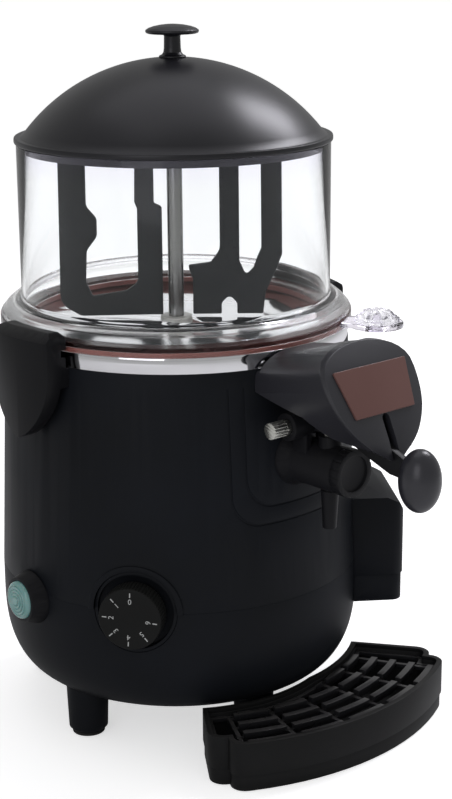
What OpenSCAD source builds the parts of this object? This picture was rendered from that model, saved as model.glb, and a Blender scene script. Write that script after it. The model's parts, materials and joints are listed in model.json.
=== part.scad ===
// Hot chocolate dispenser: heated clear bowl with a stirrer, a lever tap and a drip tray.
// The front, where the tap is, faces -Y. The floor is z = 0 and the stirrer turns about the z axis.

/* [Housing] */
// Radius of the housing at the seam between its two shells
body_r = 140; // [136:1:144]
// Radius of the upper shell at its top edge
neck_r = 132; // [130:0.5:134]
// Height of the seam between the two shells
seam_z = 122; // [118:1:126]
// Height of the upper shell's top edge
neck_z = 299; // [294:1:304]
// Thickness of the plastic walls
wall = 3; // [2.6:0.1:3.4]
// Height at which the lower shell starts to round under
round_z = 100; // [96:1:104]
// Radius of the flat underside of the lower shell
flat_r = 100; // [97:1:103]
// Height of the underside above the floor
belly_z = 35; // [33:1:37]
// Height of the locating lip inside the seam
lip_h = 6; // [5:0.5:8]

/* [Feet] */
// Diameter of a leg where it meets the shell
leg_top_d = 34; // [32:1:36]
// Diameter of a leg near the floor
leg_low_d = 30; // [29:0.5:31]
// Thickness of the rubber pad under each leg
pad_h = 2; // [1.6:0.2:3]
// Diameter of the rubber pads
pad_d = 25; // [22:1:26]
// Diameter of the spigot that holds a pad in its leg
spigot_d = 9; // [7:0.5:10]

/* [Bowl] */
// Outer radius of the clear bowl's wall
bowl_r = 118; // [116.5:0.5:119]
// Thickness of the bowl's wall
bowl_wall = 3; // [2.5:0.25:3.5]
// Height of the bowl's rim
rim_z = 447; // [440:1:455]
// Outer radius of the bowl's collar
collar_r = 134.4; // [133.6:0.2:135]
// Height of the ledge where the wall meets the collar
ledge_z = 330; // [328:1:332]
// Outer radius of the ledge
ledge_r = 124; // [123:0.5:126]
// Thickness of the silicone gasket under the bowl
gasket_h = 3.8; // [3:0.2:4.2]
// Bearing round the axis of the clear lug on the collar, from the front
lug_a = 30; // [27:1:34]
// Distance of the filler cap from the machine's axis
cap_r = 158; // [155:1:161]
// Diameter of the filler cap's skirt
cap_d = 34; // [30:1:36]

/* [Heating] */
// Height of the polished steel band above the housing
band_h = 12; // [10:0.5:13]
// Thickness of the steel sheet
steel = 1.2; // [1:0.1:1.5]
// Outer radius of the water bath
bath_r = 121; // [119:0.5:122]
// Height of the water bath's floor
bath_z = 206; // [202:1:208]
// Radius of the heating ring's centre line
coil_r = 72; // [66:1:76]
// Diameter of the heating ring's tube
coil_d = 8; // [7:0.5:9]

/* [Lid] */
// Outer radius of the lid's flange
flange_r = 119.6; // [119:0.2:122]
// Thickness of the lid's flange
flange_h = 4; // [3:0.5:5]
// Radius of the foot of the dome
dome_r = 114; // [112.5:0.5:115]
// Rise of the dome above the flange
dome_h = 57; // [50:1:62]
// Thickness of the lid's wall
lid_wall = 2.5; // [2:0.25:3]
// Depth of the skirt inside the bowl
skirt_h = 6; // [4:0.5:8]
// Diameter of the lid knob's cap
knob_d = 40; // [36:1:44]
// Thickness of the lid knob's cap
knob_h = 7; // [6:0.5:8]
// Height of the lid knob's stem
stem_h = 17; // [14:0.5:20]
// Diameter of the lid knob's stem
stem_d = 12.6; // [11:0.2:14]

/* [Stirrer] */
// Diameter of the drive shaft
shaft_d = 12; // [11:0.5:13]
// Running clearance round the shaft and the pins
run = 0.05; // [0.03:0.01:0.08]
// Thickness of the flat paddles
paddle_t = 5; // [4:0.5:6]
// Reach of the left paddle from the axis
left_reach = 89; // [85:1:92]
// Reach of the right paddle from the axis
right_reach = 82; // [79:1:86]
// Height of the top edge of the stirrer
paddle_top = 456; // [452:1:458]
// Bearing of the paddles' plane at rest
paddle_a = -40; // [-50:1:-30]
// Gap between the paddles and the floor of the bowl
scrape = 2; // [1.5:0.5:4]
// Diameter of the hub on the shaft
hub_d = 22; // [20:1:24]

/* [Drive] */
// Height of the motor plate
plate_z = 70; // [68:1:74]
// Thickness of the motor plate
plate_t = 2; // [1.5:0.25:2.5]
// Radius of the circle of motor plate screws
post_r = 90; // [89:0.5:92]
// Height of the gearbox
gear_h = 38; // [34:1:42]
// Diameter of the gearbox's output shaft
output_d = 10; // [9:0.5:11]
// Diameter of the motor's can
motor_d = 44; // [40:1:48]
// Length of the motor's can
motor_l = 58; // [50:1:64]
// Diameter of the shaft coupling
joiner_d = 24; // [22:1:28]
// Length of the shaft coupling
joiner_l = 34; // [30:1:38]

/* [Tap] */
// Height of the tap barrel's axis
barrel_z = 229; // [227:0.5:231]
// Outer diameter of the tap barrel
barrel_d = 34.5; // [32:0.5:35.5]
// Distance of the barrel's front end from the machine's axis
barrel_end = 192; // [190:1:196]
// Outer diameter of the outlet pipe
pipe_d = 18; // [16:0.5:19]
// Distance of the valve and nozzle from the machine's axis
nozzle_y = 168; // [167:0.5:169.5]
// Height of the nozzle's mouth
nozzle_z = 183; // [178:1:188]
// Bore of the nozzle
nozzle_bore = 7; // [6:0.5:8]
// Distance of the lever's pivot from the machine's axis
pivot_y = 151; // [150:0.5:152]
// Height of the lever's pivot
pivot_z = 260; // [258:0.5:262]
// Diameter of the pivot pin
pin_d = 8; // [7:0.5:9]
// Reach of the pivot pin's knurled end to the left
pin_reach = 43; // [41:1:45]
// Distance of the lever knob's centre from the machine's axis
ball_y = 253.7; // [251:0.5:256]
// Height of the lever knob's centre
ball_z = 238.7; // [236:0.5:241]
// Diameter of the lever knob
ball_d = 30; // [28:0.5:32]
// Height of the lever knob
ball_h = 45; // [42:1:48]
// Width of the lever's stem
lever_w = 5; // [4:0.5:5.5]

/* [Tap hood] */
// Half width of the shield on the front of the hood
shield_w = 43; // [41:0.5:45]
// Thickness of the shield
shield_t = 5; // [4:0.5:6]
// Half width of the hood behind the shield
hood_w = 36; // [34:0.5:38]
// Width of the slot for the lever
slot_w = 7; // [6.5:0.5:8]
// Thickness of the plate on the shield
label_t = 2; // [1.5:0.25:2.5]

/* [Controls] */
// Bearing of the thermostat dial from the front
dial_a = -54; // [-56:1:-52]
// Diameter of the thermostat dial
dial_d = 47; // [44:1:48]
// Distance of the dial's face from the machine's axis
dial_face = 154; // [151:1:157]
// Radius of the dial's pocket
pocket_r = 31; // [30:0.5:32]
// Bearing of the pilot lamp from the front
lamp_a = -93; // [-95:1:-91]
// Height of the pilot lamp
lamp_z = 116; // [114:0.5:118]
// Diameter of the pilot lamp's bezel where it meets the housing
bezel_d = 42; // [40:0.5:44]
// Diameter of the green lens
lens_d = 29; // [27:0.5:30]
// Bearing of the switch box from the front
box_a = 54; // [52:1:56]
// Distance of the switch box's face from the machine's axis
box_face = 174; // [171:1:177]
// Width of the switch box
box_w = 84; // [78:1:88]
// Height of the switch box's underside
box_low = 85; // [83:0.5:87]
// Height of the parting line of the switch box
box_part = 107; // [106:0.5:108]
// Height of the switch box's top
box_top = 171; // [167:1:173]
// Height of the rocker switch
rocker_h = 30; // [28:0.5:31]
// Width of the rocker switch
rocker_w = 22; // [20:0.5:24]

/* [Grips] */
// Half width of a side grip at its top
grip_w = 34; // [32:0.5:36]
// Height of the top of a grip
grip_top = 325; // [322:1:328]
// Height of the lower tip of a grip
grip_low = 245; // [240:1:250]
// Distance of a grip's outer face from the machine's axis
grip_face = 152; // [150:0.5:154]
// Thickness of a grip
grip_t = 4; // [3.5:0.25:4.5]

/* [Drip tray] */
// Distance that the tray stands to the right of the tap
tray_x = 24; // [20:1:26]
// Distance of the centre of the tray's curves behind the machine's axis
tray_y = 22; // [20:1:24]
// Radius of the tray's front edge
tray_r = 216; // [212:1:219]
// Radius of the tray's rear edge
tray_in = 138; // [137:0.5:140]
// Radius about the machine's axis that the tray's rear edge keeps clear
under_r = 120; // [119.5:0.5:122]
// Height of the tray's rim
tray_h = 38; // [36:0.5:38]
// Half angle of the front part of the tray
tray_a = 32; // [31:0.5:33]
// Half angle of the rear part of the tray
tail_a = 36; // [35.5:0.5:37.5]
// Radius of the front edge of the rear part
tail_r = 203; // [200:1:206]
// Thickness of the tray's walls
tray_t = 2.4; // [2:0.2:2.8]
// Height of the pan's lower band that stands below the frame
pan_band = 12; // [10:1:14]
// Number of bars in each row of the grate
bar_n = 5; // [4:1:6]
// Number of rows of bars in the grate
row_n = 5; // [4:1:5]
// Width of a grate bar
bar_w = 5; // [4:0.5:6]

/* [Hidden] */
$fn = 96;
fit = 0.3;
touch = 0.2;
far = 400;

// The housing's outline follows a superellipse below round_z.
round_p = 2.4;
round_n = 20;
function lobe(t) = pow(max(t, 0), 2 / round_p);
function belly(i, inset) = [
    flat_r + (body_r - inset - flat_r) * lobe(cos(90 * i / round_n)),
    round_z - (round_z - belly_z - inset) * lobe(sin(90 * i / round_n))
];
function belly_line(inset) = [for (i = [0:round_n]) belly(i, inset)];
function neck_at(z) = body_r - (body_r - neck_r) * (z - seam_z) / (neck_z - seam_z);

// Legs: two at the sides, two at the rear and one under the tap.
leg_side = [103, -9];
leg_rear = [53, 106];
leg_front = [0, -86];
leg_places = [leg_side, [-leg_side[0], leg_side[1]], leg_rear, [-leg_rear[0], leg_rear[1]], leg_front];

band_z = neck_z + band_h;
seat_z = band_z + gasket_h;
floor_z = band_z;
vent_r = 72;
plate_r = 84;
dial_z = seam_z + 0.6;

// Turns children from the front to a bearing about the machine's axis.
module bearing(a) {
    rotate([0, 0, a]) children();
}
// Lays children's z axis along the outward front direction at height z.
module outward(z) {
    translate([0, 0, z]) rotate([90, 0, 0]) children();
}
module ring(r_out, r_in, z, h) {
    translate([0, 0, z]) difference() {
        cylinder(r = r_out, h = h);
        translate([0, 0, -1]) cylinder(r = r_in, h = h + 2);
    }
}
module rounded_rect(w, d, r) {
    square([w - 2 * r, d], center = true);
    square([w, d - 2 * r], center = true);
    for (x = [-1, 1], y = [-1, 1]) translate([x * (w / 2 - r), y * (d / 2 - r)]) circle(r = r);
}
module obround(w, l) {
    square([l - w, w], center = true);
    for (x = [-1, 1]) translate([x * (l - w) / 2, 0]) circle(d = w);
}

// ---- Housing ----
module belly_solid(inset) {
    rotate_extrude() polygon(concat([[0, belly_z + inset], [0, seam_z]],
        [[body_r - inset, seam_z]], belly_line(inset)));
}
module neck_solid(inset, low, high) {
    translate([0, 0, low]) cylinder(r1 = neck_at(low) - inset, r2 = neck_at(high) - inset, h = high - low);
}
module leg(place) {
    translate([place[0], place[1], pad_h]) {
        cylinder(d1 = leg_low_d - 6, d2 = leg_low_d, h = 3);
        translate([0, 0, 3]) cylinder(d1 = leg_low_d, d2 = leg_top_d, h = belly_z + 20);
    }
}
spigot_room = 6;
module legs() {
    color([0.07, 0.07, 0.08]) for (place = leg_places) difference() {
        leg(place);
        belly_grown(touch / 4);
        translate([place[0], place[1], pad_h - 1]) cylinder(d = spigot_d + touch, h = spigot_room);
    }
}
module pocket_hole() {
    bearing(dial_a) outward(dial_z) translate([0, 0, body_r - 20]) cylinder(r = pocket_r + fit, h = far);
}
module lamp_hole() {
    bearing(lamp_a) outward(lamp_z) translate([0, 0, body_r - 20]) cylinder(d = lens_d + fit, h = far);
}
module wiring_hole() {
    bearing(box_a) outward(box_part + 20) translate([0, 0, body_r - 20]) cylinder(d = 14, h = 40);
}
post_d = 12;
post_angles = [45, 135, 225, 315];
base_angles = [0, 90, 180, 235, 305];
inlet_z = 82;
inlet_face = body_r + 1;
module motor_post(a) {
    rotate([0, 0, a]) translate([post_r, 0, belly_z + 1]) cylinder(d = post_d, h = plate_z - belly_z - 1);
}
module inlet_hole() {
    translate([0, body_r - 12, inlet_z]) rotate([-90, 0, 0]) linear_extrude(24) rounded_rect(30, 24, 3);
}
module lower_base() {
    color([0.07, 0.07, 0.08]) difference() {
        union() {
            difference() {
                belly_solid(0);
                belly_solid(wall);
                translate([0, 0, seam_z - 1]) cylinder(r = body_r - wall, h = 2);
                translate([0, 0, belly_z - 1]) cylinder(r = vent_r, h = wall + 2);
            }
            for (a = post_angles) motor_post(a);
            difference() {
                translate([0, inlet_face - 15, inlet_z]) rotate([-90, 0, 0]) linear_extrude(15) rounded_rect(50, 30, 5);
                belly_solid(wall);
            }
        }
        for (a = post_angles) rotate([0, 0, a]) translate([post_r, 0, plate_z - 14]) cylinder(d = 3.4, h = 20);
        for (a = base_angles) rotate([0, 0, a]) translate([plate_r - 5, 0, belly_z - 1]) cylinder(d = 3.4, h = 20);
        pocket_hole();
        lamp_hole();
        inlet_hole();
    }
}
module foot_pads() {
    color([0.13, 0.13, 0.13]) for (place = leg_places) translate([place[0], place[1], 0]) {
        cylinder(d = pad_d, h = pad_h);
        cylinder(d = spigot_d, h = pad_h + 3.5);
    }
}
module bottom_plate() {
    color([0.55, 0.56, 0.58]) translate([0, 0, belly_z - 2]) difference() {
        cylinder(r = plate_r, h = 2);
        translate([leg_front[0], leg_front[1], -1]) cylinder(d = leg_top_d + 2, h = 4);
        for (a = base_angles) rotate([0, 0, a]) translate([plate_r - 5, 0, -1]) cylinder(d = 4, h = 4);
        for (k = [0:11]) rotate([0, 0, 30 * k + 15]) translate([45, 0, -1]) linear_extrude(4) obround(4, 26);
    }
}
module base_screws() {
    color([0.75, 0.75, 0.76]) for (a = base_angles) rotate([0, 0, a])
        translate([plate_r - 5, 0, 0]) {
            translate([0, 0, belly_z - 4]) cylinder(d = 7, h = 2);
            translate([0, 0, belly_z - 3]) cylinder(d = 3, h = 9);
        }
}
ledge_ring_z = neck_z - 6;
arch_r = pocket_r + 4.5;
groove = 0.9;
panel_out = 56;
panel_in = 45;
panel_low = 183;
panel_step = 13;
module arch_ridge() {
    intersection() {
        bearing(dial_a) outward(dial_z) translate([0, 0, body_r - 30]) difference() {
            cylinder(r = arch_r, h = 60);
            translate([0, 0, -1]) cylinder(r = pocket_r + fit, h = 62);
        }
        difference() {
            neck_solid(-2.2, seam_z, neck_z);
            translate([0, 0, -1]) neck_solid(1, seam_z - 1, neck_z + 1);
        }
    }
}
// A U-shaped line around the tap, w wide, with its foot at height low.
module panel_line(half, low, w) {
    outward(0) linear_extrude(far) difference() {
        panel_shape(half, low);
        panel_shape(half - w, low + w);
    }
}
module panel_shape(half, low) {
    corner = 22;
    translate([-half, low + corner]) square([2 * half, far]);
    translate([-half + corner, low]) square([2 * (half - corner), corner + 1]);
    for (x = [-1, 1]) translate([x * (half - corner), low + corner]) circle(r = corner);
}
module upper_housing() {
    color([0.07, 0.07, 0.09]) difference() {
        union() {
            difference() {
                neck_solid(0, seam_z, neck_z);
                neck_solid(wall, seam_z - 1, neck_z + 1);
            }
            ring(body_r - wall - fit, body_r - 2 * wall, seam_z - lip_h, lip_h + 8);
            translate([0, 0, ledge_ring_z - 3]) difference() {
                cylinder(r = neck_at(ledge_ring_z) - 1, h = 3);
                translate([0, 0, -1]) cylinder(r = bath_r + fit, h = 5);
            }
            arch_ridge();
        }
        intersection() {
            union() {
                panel_line(panel_out, panel_low, 1.4);
                panel_line(panel_in, panel_low + panel_step, 1.4);
            }
            difference() {
                translate([0, 0, seam_z]) cylinder(r = body_r + 5, h = neck_z - seam_z - 12);
                neck_solid(groove, seam_z, neck_z);
            }
        }
        pocket_hole();
        lamp_hole();
        wiring_hole();
        outward(barrel_z) cylinder(d = pipe_d + 2 * fit, h = far);
    }
}

// ---- Heated floor and water bath ----
hole_r = shaft_d / 2 + 5;
outlet_y = 98;
module heating_dish() {
    color([0.82, 0.83, 0.85]) difference() {
        rotate_extrude() polygon([
            [neck_r - 0.2, neck_z], [neck_r - 0.2, band_z], [hole_r, band_z], [hole_r, band_z - steel],
            [neck_r - 0.2 - steel, band_z - steel], [neck_r - 0.2 - steel, neck_z]
        ]);
        translate([0, -outlet_y, band_z - 5]) cylinder(d = pipe_d - 2 * steel, h = 10);
    }
}
sleeve_r = shaft_d / 2 + 6;
module water_bath() {
    color([0.7, 0.72, 0.74]) difference() {
        rotate_extrude() polygon([
            [sleeve_r, bath_z], [bath_r, bath_z], [bath_r, ledge_ring_z],
            [neck_at(ledge_ring_z) - wall - 0.6, ledge_ring_z],
            [neck_at(ledge_ring_z) - wall - 0.6, ledge_ring_z + steel],
            [bath_r - steel, ledge_ring_z + steel], [bath_r - steel, bath_z + steel],
            [sleeve_r + steel, bath_z + steel], [sleeve_r + steel, band_z - steel - touch],
            [sleeve_r, band_z - steel - touch]
        ]);
        outward(barrel_z) cylinder(d = pipe_d + 0.1, h = far);
        for (x = [-1, 1]) translate([x * 14, coil_leg_y, bath_z - 1]) cylinder(d = coil_d + 0.1, h = 5);
    }
}
coil_z = bath_z + 14;
coil_leg_y = sqrt(coil_r * coil_r - 14 * 14);
module heating_ring() {
    color([0.55, 0.5, 0.45]) {
        difference() {
            translate([0, 0, coil_z]) rotate_extrude() translate([coil_r, 0]) circle(d = coil_d, $fn = 32);
            translate([-14, coil_leg_y - 20, coil_z - 10]) cube([28, 40, 20]);
        }
        for (x = [-1, 1]) translate([x * 14, coil_leg_y, bath_z - 12]) cylinder(d = coil_d, h = coil_z - bath_z + 12);
    }
}
barrel_root = neck_at(barrel_z) - 1.5;
module outlet_pipe() {
    color([0.75, 0.76, 0.78]) difference() {
        union() {
            translate([0, -outlet_y, barrel_z]) cylinder(d = pipe_d, h = band_z - steel - barrel_z);
            translate([0, -outlet_y, barrel_z]) sphere(d = pipe_d);
            outward(barrel_z) translate([0, 0, outlet_y]) cylinder(d = pipe_d, h = barrel_root + 12 - outlet_y);
        }
        translate([0, -outlet_y, barrel_z]) cylinder(d = pipe_d - 2 * steel, h = far);
        outward(barrel_z) translate([0, 0, outlet_y]) cylinder(d = pipe_d - 2 * steel, h = far);
    }
}
module bowl_gasket() {
    color([0.45, 0.16, 0.12]) ring(collar_r - 3, bowl_r - 3, band_z, gasket_h);
}

// ---- Bowl ----
foot_h = 2.6;
lug_w = 26;
lug_z = band_z + 2.6;
lug_h = 4;
module bowl() {
    color([0.85, 0.87, 0.93, 0.35]) difference() {
        union() {
            rotate_extrude() polygon([
                [bowl_r, rim_z], [bowl_r, ledge_z + 2], [bowl_r + 1.5, ledge_z], [ledge_r, ledge_z],
                [ledge_r + 5, ledge_z - 3.5], [collar_r - 1.4, ledge_z - 9], [collar_r, ledge_z - 13],
                [collar_r, band_z + touch], [collar_r - 2.6, band_z + touch], [collar_r - 2.6, seat_z],
                [bowl_r - bowl_wall, seat_z], [bowl_r - bowl_wall, seat_z + foot_h],
                [collar_r - bowl_wall, seat_z + foot_h], [collar_r - bowl_wall - 1, ledge_z - 9.5],
                [ledge_r + 3, ledge_z - 6], [ledge_r - 1.5, ledge_z - bowl_wall],
                [bowl_r - bowl_wall, ledge_z - bowl_wall], [bowl_r - bowl_wall, rim_z]
            ]);
            bearing(lug_a) translate([0, 0, lug_z]) linear_extrude(lug_h) {
                translate([-lug_w / 2, -cap_r]) square([lug_w, cap_r - collar_r + 3]);
                translate([0, -cap_r]) circle(d = cap_d + 6);
            }
        }
        bearing(lug_a) translate([0, -cap_r, lug_z - 1]) cylinder(d = 12.4, h = lug_h + 2);
    }
}
flutes = 12;
module filler_cap() {
    color([0.85, 0.86, 0.93, 0.45]) bearing(lug_a) translate([0, -cap_r, lug_z]) difference() {
        union() {
            translate([0, 0, lug_h]) cylinder(d = cap_d, h = 3);
            translate([0, 0, lug_h + 3]) cylinder(d1 = cap_d - 4, d2 = cap_d - 15, h = 6);
            translate([0, 0, -3]) cylinder(d = 12, h = lug_h + 4);
        }
        for (k = [0:flutes - 1]) rotate([0, 0, k * 360 / flutes])
            translate([cap_d / 2 + 0.6, 0, lug_h - 1]) cylinder(d = 4, h = 14, $fn = 24);
    }
}

// ---- Lid ----
flange_z = rim_z + touch;
dome_z = flange_z + flange_h;
sphere_r = (dome_r * dome_r + dome_h * dome_h) / (2 * dome_h);
dome_top = dome_z + dome_h;
dome_n = 22;
function dome_point(i, inset) = [
    (sphere_r - inset) * sin(dome_sweep(inset) * i / dome_n),
    dome_top - sphere_r + (sphere_r - inset) * cos(dome_sweep(inset) * i / dome_n)
];
function dome_sweep(inset) = acos((sphere_r - dome_h) / (sphere_r - inset));
module lid_shell() {
    color([0.05, 0.05, 0.06]) difference() {
        rotate_extrude() polygon(concat(
            [for (i = [0:dome_n]) dome_point(i, 0)],
            [
                [dome_r + 1, dome_z], [flange_r - 1, dome_z], [flange_r, dome_z - 1],
                [flange_r, flange_z + 1], [flange_r - 1, flange_z],
                [bowl_r - bowl_wall - fit - 0.2, flange_z], [bowl_r - bowl_wall - fit - 0.2, flange_z - skirt_h],
                [bowl_r - bowl_wall - fit - 0.2 - lid_wall, flange_z - skirt_h],
                [bowl_r - bowl_wall - fit - 0.2 - lid_wall, dome_z]
            ],
            [for (i = [dome_n:-1:0]) dome_point(i, lid_wall)]
        ));
        translate([0, 0, dome_top - 10]) cylinder(d = 4.4, h = 20);
    }
}
stem_z = dome_top - 0.1;
knob_top = stem_z + stem_h + knob_h;
module lid_knob() {
    color([0.05, 0.05, 0.06]) difference() {
        translate([0, 0, stem_z]) union() {
            difference() {
                cylinder(d = stem_d + 8, h = 2);
                translate([0, 0, -sphere_r + 0.3]) sphere(r = sphere_r, $fn = 128);
            }
            translate([0, 0, 1]) cylinder(d = stem_d, h = stem_h);
            translate([0, 0, stem_h]) rotate_extrude() polygon(concat(
                [[0, 0], [knob_d / 2 - 2, 0], [knob_d / 2 - 0.4, 0.6], [knob_d / 2, 1.8]],
                [for (i = [0:12]) [knob_d / 2 * cos(90 * i / 12), 2.2 + (knob_h - 2.2) * sin(90 * i / 12)]]
            ));
        }
        translate([0, 0, stem_z - 1]) cylinder(d = 4, h = stem_h);
    }
}
module lid_screw() {
    color([0.75, 0.75, 0.76]) {
        translate([0, 0, dome_top - lid_wall - 2.6]) cylinder(d = 8, h = 2.5);
        translate([0, 0, dome_top - lid_wall - 1]) cylinder(d = 3.9, h = stem_h - 2);
    }
}

// ---- Stirrer and drive ----
floor_gap = band_z + scrape;
hub_top_h = 14;
top_bar = 12;
module drive_shaft() {
    color([0.8, 0.81, 0.83]) translate([0, 0, joint_z]) cylinder(d = shaft_d, h = paddle_top - joint_z);
}
bar_inner_l = [-29, -10];
bar_inner_r = [34, 49];
module left_frame() {
    difference() {
        union() {
            translate([-left_reach, floor_gap + 10]) square([left_reach - 68, paddle_top - floor_gap - 10]);
            translate([-left_reach + 10, floor_gap]) square([left_reach - 20, 16]);
            translate([-left_reach + 10, floor_gap + 10]) circle(r = 10);
            translate([bar_inner_l[0], floor_gap]) square([bar_inner_l[1] - bar_inner_l[0], 82]);
            translate([bar_inner_l[0] - 1, floor_gap + 78]) square([15, paddle_top - floor_gap - 78]);
            translate([-72, floor_gap + 12]) square([6, 6]);
            translate([-34, floor_gap + 12]) square([6, 6]);
            translate([-67, floor_gap + 64]) circle(r = 8);
        }
        translate([-62, floor_gap + 22]) circle(r = 6);
        translate([-35, floor_gap + 22]) circle(r = 6);
    }
}
module right_frame() {
    difference() {
        union() {
            translate([bar_inner_r[0], floor_gap]) square([bar_inner_r[1] - bar_inner_r[0], paddle_top - floor_gap]);
            translate([shaft_d / 2 + 5, floor_gap]) square([bar_inner_r[0] - shaft_d / 2 - 4, 37]);
            translate([27, floor_gap + 34]) square([8, 10]);
            translate([right_reach - 16, floor_gap + 46]) square([16, paddle_top - floor_gap - 46]);
            polygon([
                [right_reach, floor_gap + 46.5], [right_reach - 5, floor_gap + 31],
                [right_reach - 13, floor_gap + 16], [right_reach - 15, floor_gap],
                [bar_inner_r[1] - 3, floor_gap], [bar_inner_r[1] - 3, floor_gap + 32],
                [right_reach - 19, floor_gap + 37], [right_reach - 16, floor_gap + 46.5]
            ]);
        }
        translate([27, floor_gap + 44]) circle(r = 7);
        translate([bar_inner_r[1] + 5, floor_gap + 34.5]) circle(r = 5.2);
        translate([41, floor_gap + 6]) circle(r = 6);
        translate([35, floor_gap - 1]) square([12, 7]);
    }
}
module stirrer() {
    color([0.06, 0.06, 0.07]) rotate([0, 0, paddle_a]) difference() {
        union() {
            translate([0, paddle_t / 2, 0]) rotate([90, 0, 0]) linear_extrude(paddle_t) {
                left_frame();
                right_frame();
                translate([-left_reach, paddle_top - top_bar]) square([left_reach + right_reach, top_bar]);
            }
            translate([0, 0, paddle_top - hub_top_h]) cylinder(d = hub_d, h = hub_top_h);
        }
        translate([0, 0, floor_gap - 1]) cylinder(d = shaft_d + 2 * run, h = far);
    }
}
module shaft_seal() {
    color([0.15, 0.15, 0.16]) difference() {
        union() {
            translate([0, 0, band_z]) cylinder(r = hole_r + 1, h = scrape / 2);
            translate([0, 0, band_z - 6]) cylinder(r = hole_r - 0.1, h = 6.5);
        }
        translate([0, 0, band_z - 10]) cylinder(d = shaft_d + 2 * run, h = 20);
    }
}
gear_z = plate_z + plate_t;
output_top = gear_z + gear_h + 26;
joint_z = output_top + 1;
module shaft_coupling() {
    color([0.35, 0.36, 0.38]) translate([0, 0, joint_z - joiner_l / 2]) difference() {
        cylinder(d = joiner_d, h = joiner_l);
        translate([0, 0, -1]) cylinder(d = output_d + 2 * run, h = joiner_l / 2 + 1);
        translate([0, 0, joiner_l / 2 - 1]) cylinder(d = shaft_d + 2 * run, h = joiner_l);
    }
}
module output_shaft() {
    color([0.7, 0.71, 0.73]) translate([0, 0, gear_z + 12]) cylinder(d = output_d, h = output_top - gear_z - 12);
}
gear_w = 64;
module gearbox() {
    color([0.5, 0.51, 0.53]) translate([0, 0, gear_z]) difference() {
        union() {
            linear_extrude(gear_h - 4) rounded_rect(gear_w, gear_w, 8);
            cylinder(d = 30, h = gear_h);
        }
        translate([0, 0, 10]) cylinder(d = output_d + 2 * run, h = gear_h);
    }
}
module motor() {
    color([0.3, 0.31, 0.33]) translate([0, gear_w / 2, gear_z + max(motor_d / 2 + 0.5, (gear_h - 4) / 2)])
        rotate([-90, 0, 0]) {
            cylinder(d = motor_d, h = motor_l);
            translate([0, 0, motor_l]) cylinder(d = 16, h = 4);
        }
}
module motor_plate() {
    color([0.65, 0.66, 0.68]) translate([0, 0, plate_z]) difference() {
        cylinder(r = post_r + 7, h = plate_t);
        for (a = post_angles) rotate([0, 0, a]) translate([post_r, 0, -1]) cylinder(d = 4, h = plate_t + 2);
        for (a = [0, 180]) rotate([0, 0, a]) translate([62, 0, -1]) linear_extrude(plate_t + 2) rounded_rect(34, 70, 8);
    }
}
module motor_screws() {
    color([0.75, 0.75, 0.76]) for (a = post_angles) rotate([0, 0, a]) translate([post_r, 0, 0]) {
        translate([0, 0, plate_z + plate_t]) cylinder(d = 7, h = 2.4);
        translate([0, 0, plate_z + plate_t - 12]) cylinder(d = 3.2, h = 13);
    }
}

// ---- Tap ----
chamber_d = 18;
seat_low = barrel_z - barrel_d / 2 + 2;
tower_d = 17;
tower_top = pivot_z - 7.5;
cheek = 27;
gap_half = 9;
boss_d = 20;
stem_rod = 8;
module tap_barrel() {
    color([0.06, 0.06, 0.07]) difference() {
        union() {
            outward(barrel_z) translate([0, 0, barrel_root]) cylinder(d = barrel_d, h = barrel_end - 8 - touch - barrel_root);
            outward(barrel_z) translate([0, 0, barrel_root]) cylinder(d1 = barrel_d + 9, d2 = barrel_d - 1, h = 12);
            translate([0, -nozzle_y, barrel_z]) cylinder(d = tower_d, h = tower_top - barrel_z);
            for (x = [-1, 1]) translate([x * (cheek + gap_half) / 2, -pivot_y, pivot_z]) rotate([0, 90, 0])
                cylinder(d = boss_d, h = cheek - gap_half, center = true);
            for (x = [-1, 1]) translate([x * (gap_half + 2.5), -pivot_y, (barrel_z + pivot_z) / 2])
                cube([5, 14, pivot_z - barrel_z], center = true);
        }
        neck_cut();
        outward(barrel_z) cylinder(d = pipe_d + 2 * run, h = barrel_root + 12);
        outward(barrel_z) cylinder(d = chamber_d - 2, h = far);
        translate([0, -nozzle_y, seat_low]) cylinder(d = chamber_d, h = barrel_z - seat_low);
        translate([0, -nozzle_y, seat_low - 10]) cylinder(d = nozzle_bore + 4, h = 20);
        translate([0, -nozzle_y, barrel_z]) cylinder(d = stem_rod + 2 * run, h = far);
        translate([-far / 2, -pivot_y, pivot_z]) rotate([0, 90, 0]) cylinder(d = pin_d + 2 * run, h = far);
    }
}
// The housing's own volume, which the barrel's flange sits against.
module neck_cut() {
    translate([0, 0, seam_z]) cylinder(r1 = body_r + touch, r2 = neck_r + touch, h = neck_z - seam_z);
}
module barrel_cap() {
    color([0.05, 0.05, 0.06]) difference() {
        outward(barrel_z) {
            translate([0, 0, barrel_end - 8]) cylinder(d = barrel_d + 0.6, h = 8);
            translate([0, 0, barrel_end - 13]) cylinder(d = chamber_d - 2.2, h = 7);
        }
        outward(barrel_z) translate([0, 0, barrel_end - 2]) cylinder(d = barrel_d - 8, h = 5);
        outward(barrel_z) for (k = [0:17]) rotate([0, 0, k * 20])
            translate([barrel_d / 2 + 0.9, 0, barrel_end - 9]) cylinder(d = 2, h = 10, $fn = 16);
    }
}
module nozzle() {
    color([0.75, 0.74, 0.72]) translate([0, -nozzle_y, 0]) difference() {
        union() {
            translate([0, 0, nozzle_z]) cylinder(d1 = nozzle_bore + 3, d2 = nozzle_bore + 6, h = barrel_z - barrel_d / 2 - 0.1 - nozzle_z);
            translate([0, 0, seat_low - 8]) cylinder(d = nozzle_bore + 3.9, h = 8);
        }
        translate([0, 0, nozzle_z - 1]) cylinder(d = nozzle_bore, h = far);
    }
}
seal_h = 3;
eye_z = pivot_z;
tab_z = eye_z - 6.8;
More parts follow.
